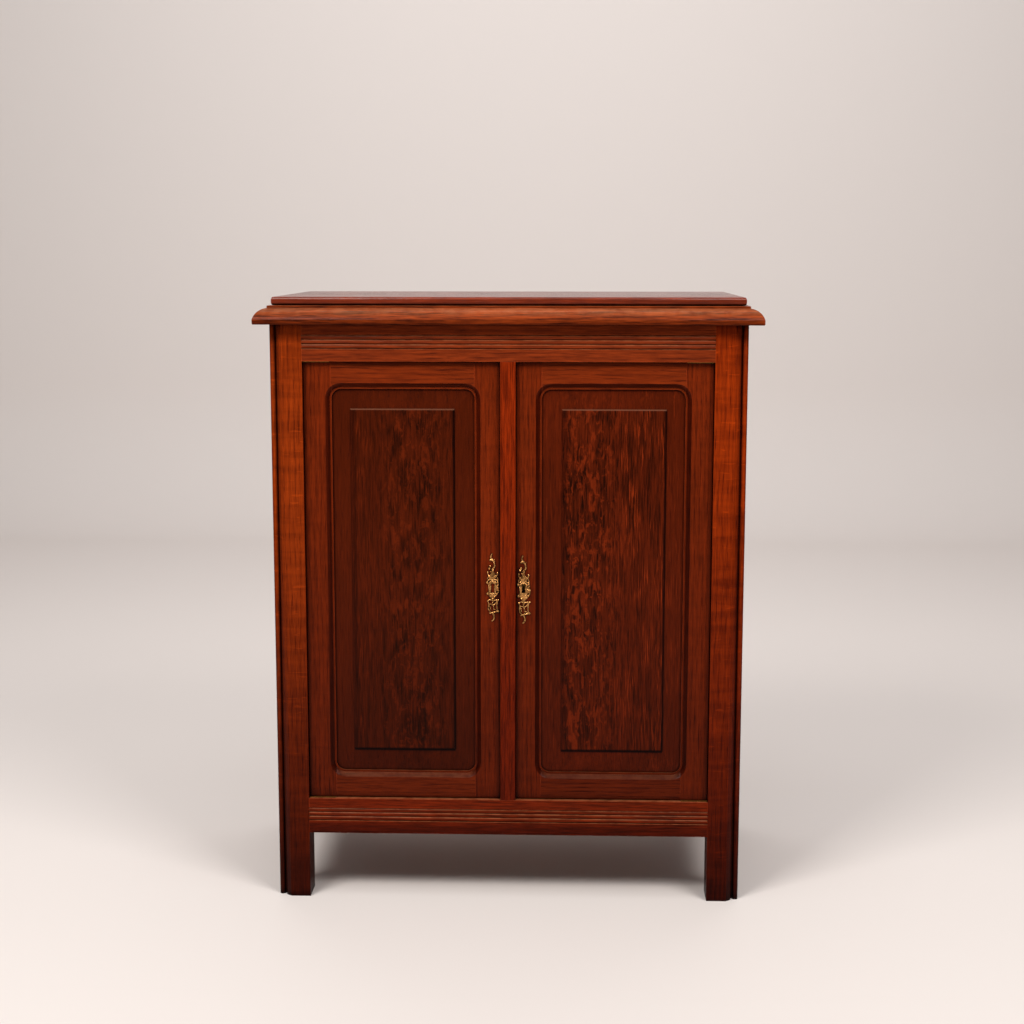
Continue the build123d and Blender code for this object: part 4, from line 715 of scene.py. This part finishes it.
def select_faces(piece, wanted):
    """Opens a piece in edit mode with only its wanted faces selected."""
    bpy.context.view_layer.objects.active = piece
    bpy.ops.object.mode_set(mode="EDIT")
    bpy.ops.mesh.select_mode(type="FACE")
    bpy.ops.mesh.select_all(action="DESELECT")
    bpy.ops.object.mode_set(mode="OBJECT")
    for face in piece.data.polygons:
        face.select = wanted(face)
    bpy.ops.object.mode_set(mode="EDIT")


def select_edges(piece, wanted):
    """Opens a piece in edit mode with only its wanted edges selected, by their two ends."""
    bpy.context.view_layer.objects.active = piece
    bpy.ops.object.mode_set(mode="EDIT")
    bpy.ops.mesh.select_mode(type="EDGE")
    bpy.ops.mesh.select_all(action="DESELECT")
    bpy.ops.object.mode_set(mode="OBJECT")
    places = piece.data.vertices
    for edge in piece.data.edges:
        edge.select = wanted(*[places[end].co for end in edge.vertices])
    bpy.ops.object.mode_set(mode="EDIT")


def apply_modifier(piece, kind, **settings):
    """Adds a modifier to a piece and applies it."""
    bpy.context.view_layer.objects.active = piece
    made = piece.modifiers.new(kind.title(), kind)
    for key, value in settings.items():
        setattr(made, key, value)
    bpy.ops.object.modifier_apply(modifier=made.name)


def cast_scroll(path):
    """One tapering scroll of the casting, along places of (right, up, thickness) in millimetres."""
    bpy.ops.curve.primitive_nurbs_path_add()
    piece = bpy.context.object
    curve = piece.data
    curve.splines.clear()
    spline = curve.splines.new("NURBS")
    spline.points.add(len(path) - 1)
    for point, (right, up, thickness) in zip(spline.points, path):
        point.co = (right, 0.0, up, 1.0)
        point.radius = thickness * SCROLL_WEIGHT
    spline.order_u = 3
    spline.use_endpoint_u = True
    spline.resolution_u = 8
    curve.bevel_depth = 1.0
    curve.bevel_resolution = 2
    curve.use_fill_caps = True
    bpy.ops.object.convert(target="MESH")
    return piece


def cast_pearl(right, up, radius, proud):
    bpy.ops.mesh.primitive_uv_sphere_add(segments=16, ring_count=10, radius=radius, location=(right, -proud, up))
    return bpy.context.object


def cast_shield(outline, keyhole_lift=None):
    """The flat ground between scrolls, with a keyhole through it where a lift for one is given."""
    bpy.ops.mesh.primitive_circle_add(vertices=24, radius=1.0, fill_type="NGON", rotation=(math.radians(90), 0, 0))
    piece = bpy.context.object
    right, up, half_width, half_height = outline
    piece.scale = (half_width, half_height, 1.0)
    piece.location = (right, SHIELD_BACK, up)
    bpy.ops.object.transform_apply()
    bpy.ops.object.mode_set(mode="EDIT")
    bpy.ops.mesh.select_all(action="SELECT")
    bpy.ops.mesh.extrude_region_move(TRANSFORM_OT_translate={"value": (0.0, -SHIELD_THICKNESS, 0.0)})
    bpy.ops.mesh.select_all(action="SELECT")
    bpy.ops.mesh.normals_make_consistent(inside=False)
    bpy.ops.object.mode_set(mode="OBJECT")
    if keyhole_lift is not None:
        for cutter in (keyhole_round(keyhole_lift), keyhole_slot(keyhole_lift)):
            apply_modifier(piece, "BOOLEAN", operation="DIFFERENCE", object=cutter)
            bpy.data.objects.remove(cutter)
    return piece


def keyhole_round(lift):
    right, up = KEYHOLE_PLACE
    bpy.ops.mesh.primitive_cylinder_add(vertices=24, radius=KEYHOLE_RADIUS, depth=CUTTER_DEPTH,
                                        location=(right, 0.0, up + lift), rotation=(math.radians(90), 0, 0))
    return bpy.context.object


def keyhole_slot(lift):
    """The slot below the round, which widens downwards."""
    right, up = SLOT_PLACE
    bpy.ops.mesh.primitive_cube_add(size=1.0, location=(right, 0.0, up + lift))
    piece = bpy.context.object
    piece.scale = (SLOT_SIZE[0], CUTTER_DEPTH, SLOT_SIZE[1])
    bpy.ops.object.transform_apply()
    select_faces(piece, lambda face: face.normal.z < -0.9)
    bpy.ops.transform.resize(value=(SLOT_FLARE, 1.0, 1.0))
    bpy.ops.object.mode_set(mode="OBJECT")
    return piece


def join_pieces(pieces):
    clear_selection()
    for piece in pieces:
        piece.select_set(True)
    bpy.context.view_layer.objects.active = pieces[0]
    bpy.ops.object.join()
    return bpy.context.object


def model_keyhole_plate(keyhole_lift):
    """The pierced rocaille casting, with its keyhole so much higher, in millimetres."""
    clear_selection()
    scrolls = [TIP_HOOK, LEAF, C_CURVE, *CROWN_SCROLLS, *ARCHES, *CARTOUCHE_SCROLLS, *WINDOW_SCROLLS, TAIL]
    pieces = [cast_scroll(path) for path in scrolls]
    pieces += [cast_pearl(*pearl, proud=PEARL_PROUD) for pearl in PEARLS]
    pieces += [cast_shield((0.4, 18.6, 4.6, 5.4)), cast_shield((0.2, 0.6, 6.4, 10.8), keyhole_lift),
               cast_shield((0.2, -13.0, 3.6, 4.6))]
    plate = join_pieces(pieces)
    apply_modifier(plate, "REMESH", mode="VOXEL", voxel_size=CAST_VOXEL)
    apply_modifier(plate, "SMOOTH", factor=0.5, iterations=2)
    bpy.ops.object.mode_set(mode="EDIT")
    bpy.ops.mesh.select_all(action="SELECT")
    bpy.ops.mesh.bisect(plane_co=(0.0, PLATE_BACK, 0.0), plane_no=(0.0, 1.0, 0.0), use_fill=True, clear_outer=True)
    bpy.ops.object.mode_set(mode="OBJECT")
    return plate


def hang_keyhole_plate(name, node, body, drop):
    """Puts a keyhole plate, with its two pins, in the place of its CAD node.

    Its keyhole stays over the door's own where the plate hangs lower by a drop.
    """
    low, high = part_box(node)
    plate = model_keyhole_plate(drop)
    pins = [cast_pearl(right, up, PIN_RADIUS, PIN_PROUD) for right, up in PIN_PLACES]
    piece = join_pieces([plate, *pins])
    upright = (high.z - low.z) / MM / PLATE_HEIGHT
    piece.scale = (MM, MM, MM * upright)
    piece.location = (low.x + PLATE_LEFT * MM, high.y - PLATE_BACK * MM, low.z + (PLATE_FOOT * upright - drop) * MM)
    bpy.ops.object.transform_apply()
    piece.name = name
    bpy.ops.object.shade_smooth()
    piece.data.materials.clear()
    piece.data.materials.append(GILT)
    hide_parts(node)
    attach(piece, body)


# Deep painted shade with dirt in the recesses; bright worn edges that also serve as painted highlights.
GILT = metal("Gilt_brass", srgb(226, 164, 98), srgb(70, 36, 8), rough=0.2, tarnish=0.95, grain=260.0, recess=0.04,
             wear=1.0, relief=0.8)
hang_keyhole_plate("keyhole_plate_left", "escutcheon_left", "left_door", 0.0)
hang_keyhole_plate("keyhole_plate_right", "escutcheon_right", "right_door", RIGHT_PLATE_DROP)


# ---- Floor, light and camera ---------------------------------------------
def lay_floor():
    """A plain pale floor that turns up into a plain pale wall behind."""
    clear_selection()
    width, back, front, height, turn_up, hair = 12.0, 3.6, 5.0, 4.0, 0.5, 0.01
    bpy.ops.mesh.primitive_plane_add(size=1.0, location=(0.0, (back - front) / 2, 0.0))
    floor = bpy.context.object
    floor.scale = (width, back + front, 1.0)
    bpy.ops.object.transform_apply()
    select_edges(floor, lambda one, other: min(one.y, other.y) > back - hair)
    bpy.ops.mesh.extrude_edges_move(TRANSFORM_OT_translate={"value": (0.0, 0.0, height)})
    select_edges(floor, lambda one, other: min(one.y, other.y) > back - hair and max(one.z, other.z) < hair)
    bpy.ops.mesh.bevel(offset=turn_up, segments=14, affect="EDGES")
    bpy.ops.object.mode_set(mode="OBJECT")
    bpy.ops.object.shade_smooth()
    made, _, _, shader = new_material("Studio_floor")
    shader["Base Color"].default_value = srgb(230, 222, 218)
    shader["Roughness"].default_value = 0.8
    floor.name = "studio_floor"
    floor.data.materials.append(made)


def hang_light(name, place, aim, size, power, colour=(1.0, 1.0, 1.0)):
    """An area light of a width and height, turned towards its aim."""
    lamp = bpy.data.lights.new(name, "AREA")
    lamp.shape = "RECTANGLE"
    lamp.size, lamp.size_y = size
    lamp.energy = power
    lamp.color = colour
    made = bpy.data.objects.new(name, lamp)
    bpy.context.scene.collection.objects.link(made)
    made.location = place
    made.rotation_euler = (Vector(aim) - Vector(place)).to_track_quat("-Z", "Y").to_euler()


def light_studio():
    hang_light("Left_light", (-1.4, -2.0, 2.7), (0, 0, 0.7), (1.2, 0.9), 66.0, (1.0, 0.97, 0.93))
    hang_light("Right_light", (1.5, -1.9, 2.6), (0, 0, 0.7), (1.2, 0.9), 48.0, (1.0, 0.97, 0.94))
    hang_light("Top_light", (0.0, -0.9, 3.0), (0, 0, 0.9), (2.5, 1.2), 22.0)
    hang_light("Wall_light", (0.0, 1.3, 3.4), (0, 3.4, 0.6), (3.0, 0.8), 45.0)
    world = bpy.data.worlds.new("Studio")
    bpy.context.scene.world = world
    world.use_nodes = True
    ground = world.node_tree.nodes["Background"]
    ground.inputs["Color"].default_value = (0.80, 0.78, 0.77, 1.0)
    ground.inputs["Strength"].default_value = 0.22


def place_camera():
    """The viewpoint: in front, a little right of centre, above the lid, looking slightly down."""
    before_front = 2.5306
    place = Vector((0.0935, FRONT - before_front, 0.9741))
    pitch = math.radians(8.4999)
    yaw = math.radians(-1.9717)
    roll = math.radians(0.029)
    sensor, focal_pixels, width_pixels = 36.0, 1737.44, 1024.0
    camera = bpy.data.cameras.new("Camera")
    camera.sensor_width = sensor
    camera.lens = sensor * focal_pixels / width_pixels
    made = bpy.data.objects.new("Camera", camera)
    bpy.context.scene.collection.objects.link(made)
    made.matrix_world = (
        Matrix.Translation(place)
        @ Matrix.Rotation(-yaw, 4, "Z")
        @ Matrix.Rotation(math.radians(90) - pitch, 4, "X")
        @ Matrix.Rotation(roll, 4, "Z")
    )
    bpy.context.scene.camera = made


lay_floor()
light_studio()
place_camera()
bpy.context.scene.view_settings.view_transform = "Standard"
